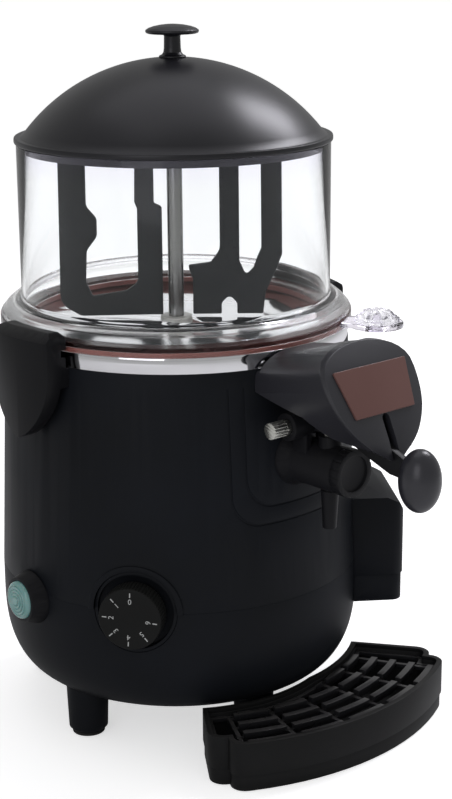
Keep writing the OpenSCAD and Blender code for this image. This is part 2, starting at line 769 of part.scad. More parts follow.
module valve_plunger() {
    color([0.85, 0.85, 0.86]) translate([0, -nozzle_y, 0]) difference() {
        union() {
            translate([0, 0, seat_low + seal_h]) cylinder(d = chamber_d - 2, h = 4);
            translate([0, 0, seat_low + seal_h]) cylinder(d = stem_rod, h = tab_z - seat_low - seal_h);
            translate([-2, -4, tab_z - 0.5]) cube([4, 8, eye_z + 5 - tab_z + 0.5]);
        }
        translate([0, 0, eye_z]) rotate([0, 90, 0]) rotate([0, 0, 90]) linear_extrude(10, center = true) obround(3.4, 5);
    }
}
module valve_seal() {
    color([0.6, 0.2, 0.15]) translate([0, -nozzle_y, seat_low]) difference() {
        cylinder(d = chamber_d - 2, h = seal_h);
        translate([0, 0, seal_h - 0.5]) cylinder(d = 3, h = 1);
    }
}
arm_h = 9;
cheek_in = 2.6;
cheek_out = 7.5;
neck_y = nozzle_y + 14;
stem_low_y = 222;
module lever() {
    color([0.06, 0.06, 0.07]) difference() {
        union() {
            for (x = [-1, 1]) translate([x * (cheek_in + cheek_out) / 2, 0, 0])
                rotate([90, 0, -90]) linear_extrude(cheek_out - cheek_in, center = true) {
                    translate([pivot_y, pivot_z]) circle(d = 15);
                    translate([pivot_y, pivot_z - arm_h / 2]) square([neck_y - pivot_y, arm_h]);
                }
            translate([0, -pivot_y, pivot_z]) rotate([0, 90, 0])
                cylinder(d = boss_d - 1, h = 2 * (gap_half - fit), center = true);
            rotate([90, 0, -90]) linear_extrude(2 * cheek_out, center = true)
                translate([neck_y - 6, pivot_z - arm_h / 2]) square([8, arm_h]);
            lever_stem(lever_w);
        }
        translate([-far / 2, -pivot_y, pivot_z]) rotate([0, 90, 0]) cylinder(d = pin_d + 2 * run, h = far);
        translate([-far / 2, -nozzle_y, eye_z]) rotate([0, 90, 0]) cylinder(d = 3.1, h = far);
    }
}
// The flat stem between the lever's arm and its knob, w wide; its end stands in the knob.
module lever_stem(w) {
    rotate([90, 0, -90]) linear_extrude(w, center = true) polygon([
        [neck_y, pivot_z + arm_h / 2], [neck_y, pivot_z - arm_h / 2], [stem_low_y - 17, pivot_z - 14],
        [stem_low_y + 6, pivot_z - 22], [ball_y - 8, ball_z - 2], [ball_y - 2, ball_z + 8],
        [stem_low_y + 4, pivot_z - 3], [stem_low_y - 6, pivot_z + 2.5], [stem_low_y - 16, pivot_z + 3.5]
    ]);
}
module lever_knob() {
    color([0.05, 0.05, 0.06]) difference() {
        translate([0, -ball_y, ball_z]) rotate_extrude()
            polygon([for (i = [0:24]) [ball_d / 2 * sin(180 * i / 24), -ball_h / 2 * cos(180 * i / 24)]]);
        lever_stem(lever_w + 2 * run);
    }
}
module link_pin() {
    color([0.8, 0.8, 0.82]) translate([0, -nozzle_y, eye_z]) rotate([0, 90, 0])
        cylinder(d = 3, h = 2 * cheek_out, center = true);
}
module pivot_pin() {
    color([0.8, 0.8, 0.82]) difference() {
        translate([-pin_reach, -pivot_y, pivot_z]) rotate([0, 90, 0]) {
            cylinder(d = 12, h = pin_reach - cheek - 0.3);
            cylinder(d = pin_d, h = pin_reach + cheek + 1);
        }
        for (k = [0:15]) translate([-pin_reach - 1, -pivot_y, pivot_z]) rotate([k * 22.5, 0, 0])
            translate([0, 6.4, 0]) rotate([0, 90, 0]) cylinder(d = 1.6, h = pin_reach - cheek - 3, $fn = 16);
    }
}

// ---- Tap hood ----
// Outline of the hood seen from the side: distance from the axis and height.
hood_back = body_r - 4;
hood_cut_z = 200;
hood_tilt = 12;
crown_t = 7;
slot_top = 276;
slot_back = 190;
shield_top = [194, 326];
label_high = [203.7, 310.5];
label_low = [220, 280];
shield_bend = [228, 263];
shield_tip = [233, 249];
face_line = [shield_top, label_high, label_low, shield_bend, shield_tip];
module side_shape(inset) {
    polygon([
        [hood_back - 20, 286 + inset], [hood_back - 20, 311 - inset], [150, 313 - inset],
        [172, 320 - inset], [shield_top[0] - inset, shield_top[1] - inset],
        [label_high[0] - inset, label_high[1]], [label_low[0] - inset, label_low[1]],
        [shield_bend[0] - inset, shield_bend[1]], [shield_tip[0] - inset, shield_tip[1]],
        [shield_tip[0] - 6, shield_tip[1]], [212, 250 + inset], [190, 258 + inset], [172, 272 + inset]
    ]);
}
module side_prism(half, inset) {
    rotate([90, 0, -90]) linear_extrude(2 * half, center = true) side_shape(inset);
}
module face_band() {
    rotate([90, 0, -90]) linear_extrude(2 * shield_w, center = true) polygon(concat(
        face_line, [for (i = [len(face_line) - 1:-1:0]) [face_line[i][0] - shield_t, face_line[i][1] - 1]]));
}
shield_mid = 303;
shield_rise = shield_top[1] - shield_mid;
shield_drop = shield_mid - shield_tip[1];
module shield_outline(w) {
    polygon(shield_points(w));
}
function shield_points(w) = concat(
    [for (i = [0:16]) [w * cos(180 * i / 16), shield_mid + shield_rise * pow(max(sin(180 * i / 16), 0), 0.8)]],
    [for (i = [1:15]) [-w * low_width(i / 16), shield_mid - shield_drop * i / 16]],
    [[-5, shield_tip[1]], [5, shield_tip[1]]],
    [for (i = [15:-1:1]) [w * low_width(i / 16), shield_mid - shield_drop * i / 16]]
);
function low_width(t) = pow(max(1 - pow(t, 2.3), 0), 0.72);
// The arched body behind the shield; its crown falls towards the housing.
module hood_arch(half) {
    translate([0, -shield_top[0], shield_top[1]]) rotate([90 - hood_tilt, 0, 0]) translate([0, 0, -110])
        linear_extrude(160) translate([0, -shield_top[1]]) shield_outline(half);
}
module tap_hood() {
    color([0.06, 0.06, 0.07]) difference() {
        union() {
            intersection() {
                side_prism(hood_w + 5, 0);
                hood_arch(hood_w);
            }
            intersection() {
                face_band();
                outward(0) linear_extrude(far) shield_outline(shield_w);
            }
        }
        intersection() {
            hood_room();
            hood_arch(hood_w - wall);
        }
        hood_housing();
        translate([-slot_w / 2, -far, hood_cut_z]) cube([slot_w, far - slot_back, slot_top - hood_cut_z]);
        outward(slot_top) translate([0, 0, slot_back]) cylinder(d = slot_w, h = 80);
    }
}
// The room inside the hood, open below.
module hood_room() {
    front = shield_t + 1;
    rotate([90, 0, -90]) linear_extrude(3 * hood_w, center = true) polygon([
        [hood_back - 40, hood_cut_z], [hood_back - 40, 311 - crown_t], [150, 313 - crown_t],
        [shield_top[0] - 12, shield_top[1] - 2 - crown_t], [label_high[0] - front, label_high[1]],
        [label_low[0] - front, label_low[1]], [shield_bend[0] - front, shield_bend[1]],
        [shield_tip[0] - front, shield_tip[1]], [shield_tip[0] - front, hood_cut_z]
    ]);
}
module hood_housing() {
    neck_cut();
    translate([0, 0, neck_z - 1]) cylinder(r = collar_r + 1, h = 60);
    translate([0, 0, hood_cut_z]) cylinder(r = neck_r + touch, h = 200);
}
label_tilt = atan2(label_low[0] - label_high[0], label_high[1] - label_low[1]);
module label_plate() {
    color([0.30, 0.16, 0.13]) translate([0, -label_high[0], label_high[1]]) rotate([90 - label_tilt, 0, 0])
        linear_extrude(label_t) polygon([[-35.3, 0], [35.3, 0], [28.8, -35], [-28.8, -35]]);
}

// ---- Controls ----
module dial_knob() {
    color([0.07, 0.07, 0.08]) bearing(dial_a) outward(dial_z) difference() {
        union() {
            translate([0, 0, dial_face - 16]) cylinder(d = dial_d, h = 15);
            translate([0, 0, dial_face - 1]) cylinder(d1 = dial_d, d2 = dial_d - 2, h = 1);
        }
        translate([0, 0, dial_face - 20]) cylinder(d = 6, h = 14);
    }
}
dish_low = dial_face - 24;
module dial_bezel() {
    color([0.05, 0.05, 0.06]) intersection() {
        bearing(dial_a) outward(dial_z) difference() {
            translate([0, 0, dish_low]) cylinder(r = pocket_r, h = 30);
            translate([0, 0, dish_low + 2.5]) cylinder(r = pocket_r - 2.5, h = 30);
            translate([0, 0, dish_low - 1]) cylinder(d = 10.2, h = 10);
        }
        cylinder(r = body_r - 0.4, h = far);
    }
}
module thermostat() {
    color([0.6, 0.6, 0.58]) bearing(dial_a) outward(dial_z) difference() {
        union() {
            translate([0, 0, dish_low - 28]) linear_extrude(28) rounded_rect(34, 34, 4);
            translate([0, 0, dish_low - 1]) cylinder(d = 10, h = 6);
        }
        translate([0, 0, dish_low - 20]) cylinder(d = 5.9 + 2 * run, h = 40);
    }
}
module thermostat_shaft() {
    color([0.8, 0.8, 0.82]) bearing(dial_a) outward(dial_z)
        translate([0, 0, dish_low - 19]) cylinder(d = 5.9, h = dial_face - 6.2 - dish_low + 19);
}
lamp_out = body_r + 11;
module lamp_bezel() {
    color([0.06, 0.06, 0.07]) difference() {
        bearing(lamp_a) outward(lamp_z) translate([0, 0, body_r - 8])
            cylinder(d1 = bezel_d + 4, d2 = lens_d + 5, h = lamp_out - body_r + 8);
        cylinder(r = body_r + 0.1, h = far);
        bearing(lamp_a) outward(lamp_z) translate([0, 0, body_r - 20]) cylinder(d = lens_d - 3, h = far);
        bearing(lamp_a) outward(lamp_z) translate([0, 0, lamp_out - 3]) cylinder(d = lens_d + 0.4, h = 10);
    }
}
module lamp_lens() {
    color([0.25, 0.8, 0.6, 0.6]) bearing(lamp_a) outward(lamp_z) translate([0, 0, lamp_out - 3])
        rotate_extrude() polygon([
            [0, 0], [lens_d / 2, 0], [lens_d / 2, 4], [lens_d / 2 - 2, 6], [lens_d / 2 - 3.5, 6.6],
            [lens_d / 2 - 4, 6.2], [lens_d / 2 - 7, 7.4], [lens_d / 2 - 7.6, 7], [4, 8], [0, 8.2]
        ]);
}
module lamp_holder() {
    color([0.2, 0.2, 0.2]) bearing(lamp_a) outward(lamp_z) {
        translate([0, 0, body_r - 28]) cylinder(d = lens_d - 4, h = lamp_out - 3.1 - body_r + 28);
        translate([0, 0, body_r - 15]) cylinder(d = lens_d + 8, h = 6);
    }
}
// ---- Switch box ----
box_r = 10;
module box_solid(low, high, inset) {
    bearing(box_a) translate([0, -(box_face / 2 + 30), low]) linear_extrude(high - low)
        rounded_rect(box_w - 2 * inset, box_face - 60 - 2 * inset, box_r - inset);
}
module shells_volume(extra) {
    belly_grown(extra);
    neck_solid(-extra, seam_z, neck_z);
}
module belly_grown(extra) {
    rotate_extrude() polygon(concat([[0, belly_z - extra], [0, seam_z], [body_r + extra, seam_z]], belly_line(-extra)));
}
// The side view that slopes the top of the box down to its face.
module box_slope(inset) {
    bearing(box_a) rotate([90, 0, -90]) linear_extrude(box_w + 10, center = true) translate([-inset, -inset]) polygon([
        [60, box_part - 10], [box_face + 4, box_part - 10], [box_face + 4, box_top - 21],
        [box_face - 4, box_top - 5], [box_face - 14, box_top], [box_face - 24, box_top + 5], [60, box_top + 5]
    ]);
}
module switch_box() {
    color([0.07, 0.07, 0.08]) difference() {
        intersection() {
            box_solid(box_part, box_top, 0);
            box_slope(0);
        }
        intersection() {
            box_solid(box_part - 1, box_top - wall, wall);
            box_slope(wall);
        }
        shells_volume(0.05);
        bearing(box_a) outward(rocker_z)
            translate([0, 0, box_face - 20]) linear_extrude(40) square([rocker_w + 0.4, rocker_h + 0.4], center = true);
    }
}
module switch_box_base() {
    color([0.07, 0.07, 0.08]) difference() {
        box_solid(box_low, box_part - touch, 1);
        box_solid(box_low + wall, box_part, wall + 1);
        shells_volume(0.05);
    }
}
rocker_z = box_part + 15.5;
module rocker_frame() {
    color([0.05, 0.05, 0.05]) bearing(box_a) outward(rocker_z) difference() {
        union() {
            translate([0, 0, box_face]) linear_extrude(2) square([rocker_w + 4, rocker_h + 3], center = true);
            translate([0, 0, box_face - 18]) linear_extrude(18) square([rocker_w, rocker_h], center = true);
        }
        translate([0, 0, box_face - 14]) linear_extrude(40) square([rocker_w - 3, rocker_h - 4], center = true);
    }
}
rocker_tilt = 8;
module rocker_switch() {
    paddle = rocker_h / 2 - 3.6;
    color([0.05, 0.05, 0.05]) bearing(box_a) outward(rocker_z) translate([0, 0, box_face - 1])
        rotate([rocker_tilt, 0, 0]) rotate([0, 90, 0]) {
            linear_extrude(rocker_w - 4, center = true) polygon([
                [-4.2, -paddle], [-1.6, 0], [-4.2, paddle], [0, paddle + 0.6], [7, 4], [7, -4], [0, -paddle - 0.6]
            ]);
            cylinder(d = 3, h = rocker_w - 3.6, center = true);
        }
}

// ---- Side grips ----
grip_mid = grip_top - 26;
function grip_half(t, w) = w * pow(max(1 - pow(t, 2.2), 0), 0.75);
function grip_side(w, low) = [for (i = [1:14]) [grip_half(i / 15, w), grip_mid - (grip_mid - low) * i / 15]];
module grip_outline(w, low, high) {
    side = concat([[w - 8, high], [w - 2.4, high - 2.4], [w, high - 8], [w, grip_mid]], grip_side(w, low));
    polygon(concat(side, [[0, low]], [for (i = [len(side) - 1:-1:0]) [-side[i][0], side[i][1]]]));
}
module grip_shell(r_out, r_in) {
    ring(r_out, r_in, 200, 160);
}
module grip() {
    root = 12;
    lip = 10;
    difference() {
        union() {
            intersection() {
                outward(0) linear_extrude(far) grip_outline(grip_w, grip_low, grip_top);
                grip_shell(grip_face, grip_face - grip_t);
            }
            intersection() {
                outward(0) linear_extrude(far) difference() {
                    grip_outline(grip_w, grip_low, grip_top);
                    grip_outline(grip_w - wall, grip_low + 6, grip_top - root);
                }
                grip_shell(grip_face - 1, grip_face - grip_t - lip + 2);
            }
            intersection() {
                translate([-grip_w + 1, -grip_face, grip_top - root]) cube([2 * grip_w - 2, 60, root]);
                outward(0) linear_extrude(far) grip_outline(grip_w, grip_low, grip_top);
                grip_shell(grip_face - 1, 100);
            }
            for (x = [-1, 1]) intersection() {
                translate([x * (grip_w - 1.5 - wall / 2) - wall / 2, -grip_face, neck_z - 14]) cube([wall, 60, 22]);
                grip_shell(grip_face - 1, 100);
            }
        }
        translate([0, 0, neck_z]) cylinder(r = collar_r + fit, h = 60);
        neck_solid(-0.05, seam_z, neck_z + 0.01);
        translate([0, 0, grip_top - 6]) rotate_extrude() polygon([
            [grip_face - 9, 6.1], [grip_face + 1, 6.1], [grip_face + 1, 0]
        ]);
    }
}
module left_grip() {
    color([0.06, 0.06, 0.07]) bearing(-90) grip();
}
module right_grip() {
    color([0.06, 0.06, 0.07]) bearing(90) grip();
}

// ---- Drip tray ----
module wedge(half) {
    polygon([[0, 0], [-far * sin(half), -far * cos(half)], [far * sin(half), -far * cos(half)]]);
}
corner_r = 12;
function less(a, r, inset) = a - inset / r * 180 / PI;
function at_bearing(r, a) = [r * sin(a), -r * cos(a)];
function arc_points(r, from, to, n) = [for (i = [0:n]) at_bearing(r, from + (to - from) * i / n)];
// Bearing of the centre of a corner of radius rc between the arc of radius r and the side at bearing a.
function corner_at(r, a, rc) = a - asin(rc / (r - rc));
function corner_points(r, a, rc) = [for (p = arc_points(rc, corner_at(r, a, rc), a + 90, 6))
    p + at_bearing(r - rc, corner_at(r, a, rc))];
function tray_half(r1, a1, r2, a2, r_in, rc) = concat(
    arc_points(r1, 0, corner_at(r1, a1, rc) - 1, 8), corner_points(r1, a1, rc),
    arc_points(r2, a1, corner_at(r2, a2, rc) - 0.5, 2), corner_points(r2, a2, rc),
    arc_points(r_in, a2, 0, 9)
);
function mirrored(h) = [for (i = [len(h) - 2:-1:1]) [-h[i][0], h[i][1]]];
module tray_plan(inset) {
    half = tray_half(tray_r - inset, less(tray_a, tray_r, inset), tail_r - inset,
        less(tail_a, tail_r, inset), tray_in + inset, max(corner_r - inset, 1));
    difference() {
        translate([tray_x, tray_y]) polygon(concat(half, mirrored(half)));
        circle(r = under_r + inset);
    }
}
frame_lap = 1.2;
module tray_pan() {
    color([0.08, 0.08, 0.09]) difference() {
        union() {
            linear_extrude(tray_h - 3) tray_plan(tray_t);
            linear_extrude(pan_band) tray_plan(frame_lap);
        }
        translate([0, 0, 2.4]) linear_extrude(far) tray_plan(2 * tray_t);
    }
    color([0.08, 0.08, 0.09]) for (s = [-1, 1], r = [grate_in + 16, grate_out - 7])
        translate([tray_x, tray_y, 2]) rotate([0, 0, s * 1.5 * bar_sweep]) translate([0, -r, 0])
            cylinder(d = 6, h = grate_low - 2 - touch);
}
module tray_frame() {
    color([0.08, 0.08, 0.09]) difference() {
        translate([0, 0, pan_band + 0.3]) linear_extrude(tray_h - pan_band - 0.3) tray_plan(0);
        translate([0, 0, pan_band]) linear_extrude(tray_h - 3 - pan_band + 0.05) tray_plan(tray_t - 0.05);
        translate([0, 0, pan_band]) linear_extrude(far) tray_plan(tray_t + 2);
    }
}
grate_low = tray_h - 9;
grate_in = tray_in + 2 * tray_t + 1;
grate_out = tray_r - 2 * tray_t - 1;
row_pitch = (grate_out - grate_in - bar_w) / (row_n - 1);
bar_sweep = 2 * (tray_a - 3) / bar_n;
// Radius about the machine's axis that the bars keep clear, so that the grate lifts past the belly.
bar_clear_r = under_r + 2 * tray_t + 5;
module grate_arc(r, w, a_mid, a_half) {
    intersection() {
        difference() {
            circle(r = r + w / 2);
            circle(r = r - w / 2);
        }
        rotate(a_mid) wedge(a_half);
    }
}
module tray_grate() {
    color([0.09, 0.09, 0.1]) {
        translate([0, 0, grate_low]) linear_extrude(3) {
            difference() {
                tray_plan(2 * tray_t + 0.4);
                tray_plan(2 * tray_t + 3.4);
            }
            intersection() {
                tray_plan(2 * tray_t + 1);
                translate([tray_x, tray_y]) grate_ribs();
            }
        }
        translate([0, 0, grate_low + 2.9]) linear_extrude(tray_h - grate_low - 5) difference() {
            intersection() {
                tray_plan(2 * tray_t + 1.2);
                translate([tray_x, tray_y]) for (k = [0:bar_n - 1], j = [0:row_n - 1])
                    grate_arc(grate_in + bar_w / 2 + j * row_pitch, bar_w, -tray_a + 3 + (k + 0.5) * bar_sweep, bar_sweep / 2 - 0.9);
            }
            circle(r = bar_clear_r);
        }
    }
}
module grate_ribs() {
    for (k = [0:bar_n]) rotate(-tray_a + 3 + k * bar_sweep)
        translate([-1.5, -grate_out]) square([3, grate_out - grate_in + 1]);
    for (j = [0:row_n - 1]) grate_arc(grate_in + bar_w / 2 + j * row_pitch, bar_w - 2, 0, tray_a - 2.4);
}
// ---- Mains inlet at the rear ----
module mains_inlet() {
    color([0.05, 0.05, 0.05]) translate([0, inlet_face, inlet_z]) rotate([-90, 0, 0]) {
        difference() {
            union() {
                translate([0, 0, -18]) linear_extrude(20) rounded_rect(28, 22, 3);
                translate([0, 0, 0.05]) linear_extrude(2.5) rounded_rect(48, 28, 4);
            }
            translate([0, 0, -14]) linear_extrude(30) rounded_rect(24, 17, 3);
        }
        for (x = [-7, 0, 7]) translate([x - 1, x == 0 ? 1 : -4, -15]) cube([2, 4, 12]);
    }
}

lower_base();
legs();
foot_pads();
bottom_plate();
base_screws();
upper_housing();
heating_dish();
water_bath();
heating_ring();
outlet_pipe();
bowl_gasket();
bowl();
filler_cap();
lid_shell();
lid_knob();
lid_screw();
drive_shaft();
stirrer();
shaft_seal();
shaft_coupling();
output_shaft();
gearbox();
motor();
motor_plate();
motor_screws();
tap_barrel();
barrel_cap();
nozzle();
valve_plunger();
valve_seal();
lever();
lever_knob();
link_pin();
pivot_pin();
tap_hood();
label_plate();
dial_knob();
dial_bezel();
thermostat();
thermostat_shaft();
lamp_bezel();
lamp_lens();
lamp_holder();
switch_box();
switch_box_base();
rocker_frame();
rocker_switch();
left_grip();
right_grip();
tray_pan();
tray_frame();
tray_grate();
mains_inlet();
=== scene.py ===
import json
import math

import bmesh
import bpy
from mathutils import Matrix, Vector


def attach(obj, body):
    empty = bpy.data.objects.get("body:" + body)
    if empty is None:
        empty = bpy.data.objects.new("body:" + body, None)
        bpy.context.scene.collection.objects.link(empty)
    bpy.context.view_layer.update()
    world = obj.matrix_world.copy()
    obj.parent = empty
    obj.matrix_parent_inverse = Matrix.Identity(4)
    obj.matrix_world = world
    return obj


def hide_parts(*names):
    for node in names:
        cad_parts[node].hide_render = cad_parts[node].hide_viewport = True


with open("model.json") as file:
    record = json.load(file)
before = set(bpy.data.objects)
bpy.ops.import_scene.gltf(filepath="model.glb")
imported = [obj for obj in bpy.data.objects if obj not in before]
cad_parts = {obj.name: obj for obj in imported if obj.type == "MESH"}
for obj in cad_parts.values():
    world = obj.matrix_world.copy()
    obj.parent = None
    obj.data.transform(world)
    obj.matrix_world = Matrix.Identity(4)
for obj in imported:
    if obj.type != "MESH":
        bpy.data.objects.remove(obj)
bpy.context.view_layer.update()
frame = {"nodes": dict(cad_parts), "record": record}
nodeObjects = frame["nodes"]
bodyOf = {n: b for b, members in frame["record"]["behaviour"]["bodies"].items() for n in members}
print("frame loaded:", len(nodeObjects), "nodes")

onAxis = 0.001  # radius in mm of a lathe line's end that closes on the axis


def mm(value):
    return value / 1000.0


def circlePoint(radius, angle):
    return radius * math.cos(angle), radius * math.sin(angle)


# Camera, fitted to the round rims; metres and degrees
cameraValues = {
    "distance": 1.307, "height": 0.609, "turn": 40.0, "pitch": 15.6, "yaw": 1.65, "roll": -0.46,
    "lens": 78.17, "sensor": 36.0, "near": 0.05, "far": 50.0,
}


def buildCamera(v):
    pitch, yaw, roll, turn = (math.radians(v[k]) for k in ("pitch", "yaw", "roll", "turn"))
    ahead = Vector((math.sin(yaw) * math.cos(pitch), math.cos(yaw) * math.cos(pitch), -math.sin(pitch)))
    right = Vector((math.cos(yaw), -math.sin(yaw), 0))
    up = right.cross(ahead)
    across = right * math.cos(roll) + up * math.sin(roll)
    upward = up * math.cos(roll) - right * math.sin(roll)
    swing = Matrix.Rotation(-turn, 3, "Z")
    columns = [swing @ across, swing @ upward, swing @ -ahead]
    basis = Matrix(columns).transposed().to_4x4()
    data = bpy.data.cameras.new("photoCamera")
    data.lens = v["lens"]
    data.sensor_width = v["sensor"]
    data.clip_start = v["near"]
    data.clip_end = v["far"]
    camera = bpy.data.objects.new("photoCamera", data)
    camera.matrix_world = Matrix.Translation(swing @ Vector((0, -v["distance"], v["height"]))) @ basis
    bpy.context.scene.collection.objects.link(camera)
    bpy.context.scene.camera = camera


lampValues = {
    "side": {"at": (1.10, -0.10, 1.48), "size": (0.5, 0.7), "watts": 12.0},
    "front": {"at": (-1.9, -1.0, 1.1), "size": (1.2, 1.4), "watts": 7.0},
    "top": {"at": (0.1, 0.3, 1.9), "size": (1.3, 1.3), "watts": 3.5},
}
studioValues = {
    "lampColour": (0.94, 0.93, 1.0),
    "aim": (0, 0, 0.27),
    "ambient": 0.5,  # strength of the white surroundings as a light
    "mirrored": 0.38,  # their strength in reflections
}


def buildLamps(values, studio):
    for name, v in values.items():
        data = bpy.data.lights.new(name, "AREA")
        data.shape = "RECTANGLE"
        data.size, data.size_y = v["size"]
        data.energy = v["watts"]
        data.color = studio["lampColour"]
        lamp = bpy.data.objects.new(name, data)
        lamp.location = v["at"]
        aim = Vector(studio["aim"]) - Vector(v["at"])
        lamp.rotation_euler = aim.to_track_quat("-Z", "Y").to_euler()
        bpy.context.scene.collection.objects.link(lamp)


def mathNode(tree, operation, *operands, clamp=False):
    node = tree.nodes.new("ShaderNodeMath")
    node.operation = operation
    node.use_clamp = clamp
    for socket, value in zip(node.inputs, operands):
        if isinstance(value, (int, float)):
            socket.default_value = value
        else:
            tree.links.new(value, socket)
    return node.outputs[0]


def sightMask(tree):
    # 1 for rays that the camera or a pane sends, 0 for the others
    path = tree.nodes.new("ShaderNodeLightPath")
    mask = mathNode(tree, "MAXIMUM", path.outputs["Is Camera Ray"], path.outputs["Is Transmission Ray"])
    return mask, path


def buildWorld(v):
    # white to the eye, dimmer as a light and in reflections
    world = bpy.data.worlds.new("paleStudio")
    bpy.context.scene.world = world
    world.use_nodes = True
    tree = world.node_tree
    tree.nodes.clear()
    out = tree.nodes.new("ShaderNodeOutputWorld")
    sky = tree.nodes.new("ShaderNodeBackground")
    sky.inputs["Color"].default_value = (1, 1, 1, 1)
    seen, path = sightMask(tree)
    change = mathNode(tree, "MULTIPLY", path.outputs["Is Glossy Ray"], v["mirrored"] - v["ambient"])
    level = mathNode(tree, "MAXIMUM", mathNode(tree, "ADD", change, v["ambient"]), seen)
    tree.links.new(level, sky.inputs["Strength"])
    tree.links.new(sky.outputs[0], out.inputs[0])


buildCamera(cameraValues)
buildLamps(lampValues, studioValues)
buildWorld(studioValues)
print("camera, lamps and world ready")


# Pattern groups that several materials share
def newGroup(name, inputs, outputs):
    group = bpy.data.node_groups.new(name, "ShaderNodeTree")
    for label, value in inputs:
        socket = group.interface.new_socket(label, in_out="INPUT", socket_type="NodeSocketFloat")
        socket.default_value = value
    for label in outputs:
        group.interface.new_socket(label, in_out="OUTPUT", socket_type="NodeSocketFloat")
    return group, group.nodes.new("NodeGroupInput"), group.nodes.new("NodeGroupOutput")


def noiseNode(tree, scale, detail, roughness, vector):
    node = tree.nodes.new("ShaderNodeTexNoise")
    node.inputs["Detail"].default_value = detail
    node.inputs["Roughness"].default_value = roughness
    tree.links.new(scale, node.inputs["Scale"])
    tree.links.new(vector, node.inputs["Vector"])
    return node.outputs["Fac"]


def objectPoint(tree):
    return tree.nodes.new("ShaderNodeTexCoord").outputs["Object"]


def splitPoint(tree, vector):
    split = tree.nodes.new("ShaderNodeSeparateXYZ")
    tree.links.new(vector, split.inputs[0])
    return split.outputs


def buildMouldedGrain():
    # fine spark-eroded grain of a moulded part, with slow patches of sheen
    group, given, result = newGroup("mouldedGrain", [("Grain Scale", 900.0), ("Patch Scale", 9.0)],
                                    ["Height", "Patch"])
    point = objectPoint(group)
    fine = noiseNode(group, given.outputs["Grain Scale"], 3.0, 0.6, point)
    coarse = noiseNode(group, given.outputs["Patch Scale"], 3.0, 0.55, point)
    patch = mathNode(group, "MULTIPLY_ADD", coarse, 2.2, -0.6, clamp=True)  # stretches the noise over 0 to 1
    group.links.new(fine, result.inputs["Height"])
    group.links.new(patch, result.inputs["Patch"])
    return group


def buildSettledDust():
    # dust that lies on faces looking up, broken by noise
    group, given, result = newGroup("settledDust", [("Amount", 0.2), ("Speckle", 60.0)], ["Dust"])
    coord = group.nodes.new("ShaderNodeTexCoord")
    facingUp = mathNode(group, "MAXIMUM", splitPoint(group, coord.outputs["Normal"])["Z"], 0.0)
    upward = mathNode(group, "POWER", facingUp, 2.0)
    speck = noiseNode(group, given.outputs["Speckle"], 4.0, 0.65, coord.outputs["Object"])
    cover = mathNode(group, "MULTIPLY", upward, speck)
    dust = mathNode(group, "MULTIPLY", cover, given.outputs["Amount"], clamp=True)
    group.links.new(dust, result.inputs["Dust"])
    return group


def buildTurnedLines():
    # fine lines that run round the machine's axis, as spinning and polishing leave them
    group, given, result = newGroup("turnedLines", [("Line Scale", 500.0), ("Contrast", 0.3)], ["Lines"])
    point = splitPoint(group, objectPoint(group))
    squares = [mathNode(group, "MULTIPLY", point[axis], point[axis]) for axis in ("X", "Y")]
    radius = mathNode(group, "SQRT", mathNode(group, "ADD", *squares))
    flat = group.nodes.new("ShaderNodeCombineXYZ")
    group.links.new(radius, flat.inputs["X"])
    group.links.new(point["Z"], flat.inputs["Y"])
    lines = noiseNode(group, given.outputs["Line Scale"], 2.0, 0.6, flat.outputs[0])
    centred = mathNode(group, "SUBTRACT", lines, 0.5)
    group.links.new(mathNode(group, "MULTIPLY", centred, given.outputs["Contrast"]), result.inputs["Lines"])
    return group


mouldedGrain = buildMouldedGrain()
settledDust = buildSettledDust()
turnedLines = buildTurnedLines()


# Materials
def placeGroup(tree, group, values):
    node = tree.nodes.new("ShaderNodeGroup")
    node.node_tree = group
    for label, value in values.items():
        node.inputs[label].default_value = value
    return node.outputs


def mixColours(tree, factor, a, b):
    node = tree.nodes.new("ShaderNodeMix")
    node.data_type = "RGBA"
    tree.links.new(factor, node.inputs["Factor"])
    for socket, value in ((node.inputs[6], a), (node.inputs[7], b)):
        if isinstance(value, tuple):
            socket.default_value = (*value, 1.0)
        else:
            tree.links.new(value, socket)
    return node.outputs[2]


def newMaterial(name):
    material = bpy.data.materials.new(name)
    material.use_nodes = True
    return material, material.node_tree, material.node_tree.nodes["Principled BSDF"]


def addBump(tree, shader, height, distance, strength):
    bump = tree.nodes.new("ShaderNodeBump")
    bump.inputs["Strength"].default_value = strength
    bump.inputs["Distance"].default_value = distance
    tree.links.new(height, bump.inputs["Height"])
    tree.links.new(bump.outputs[0], shader.inputs["Normal"])


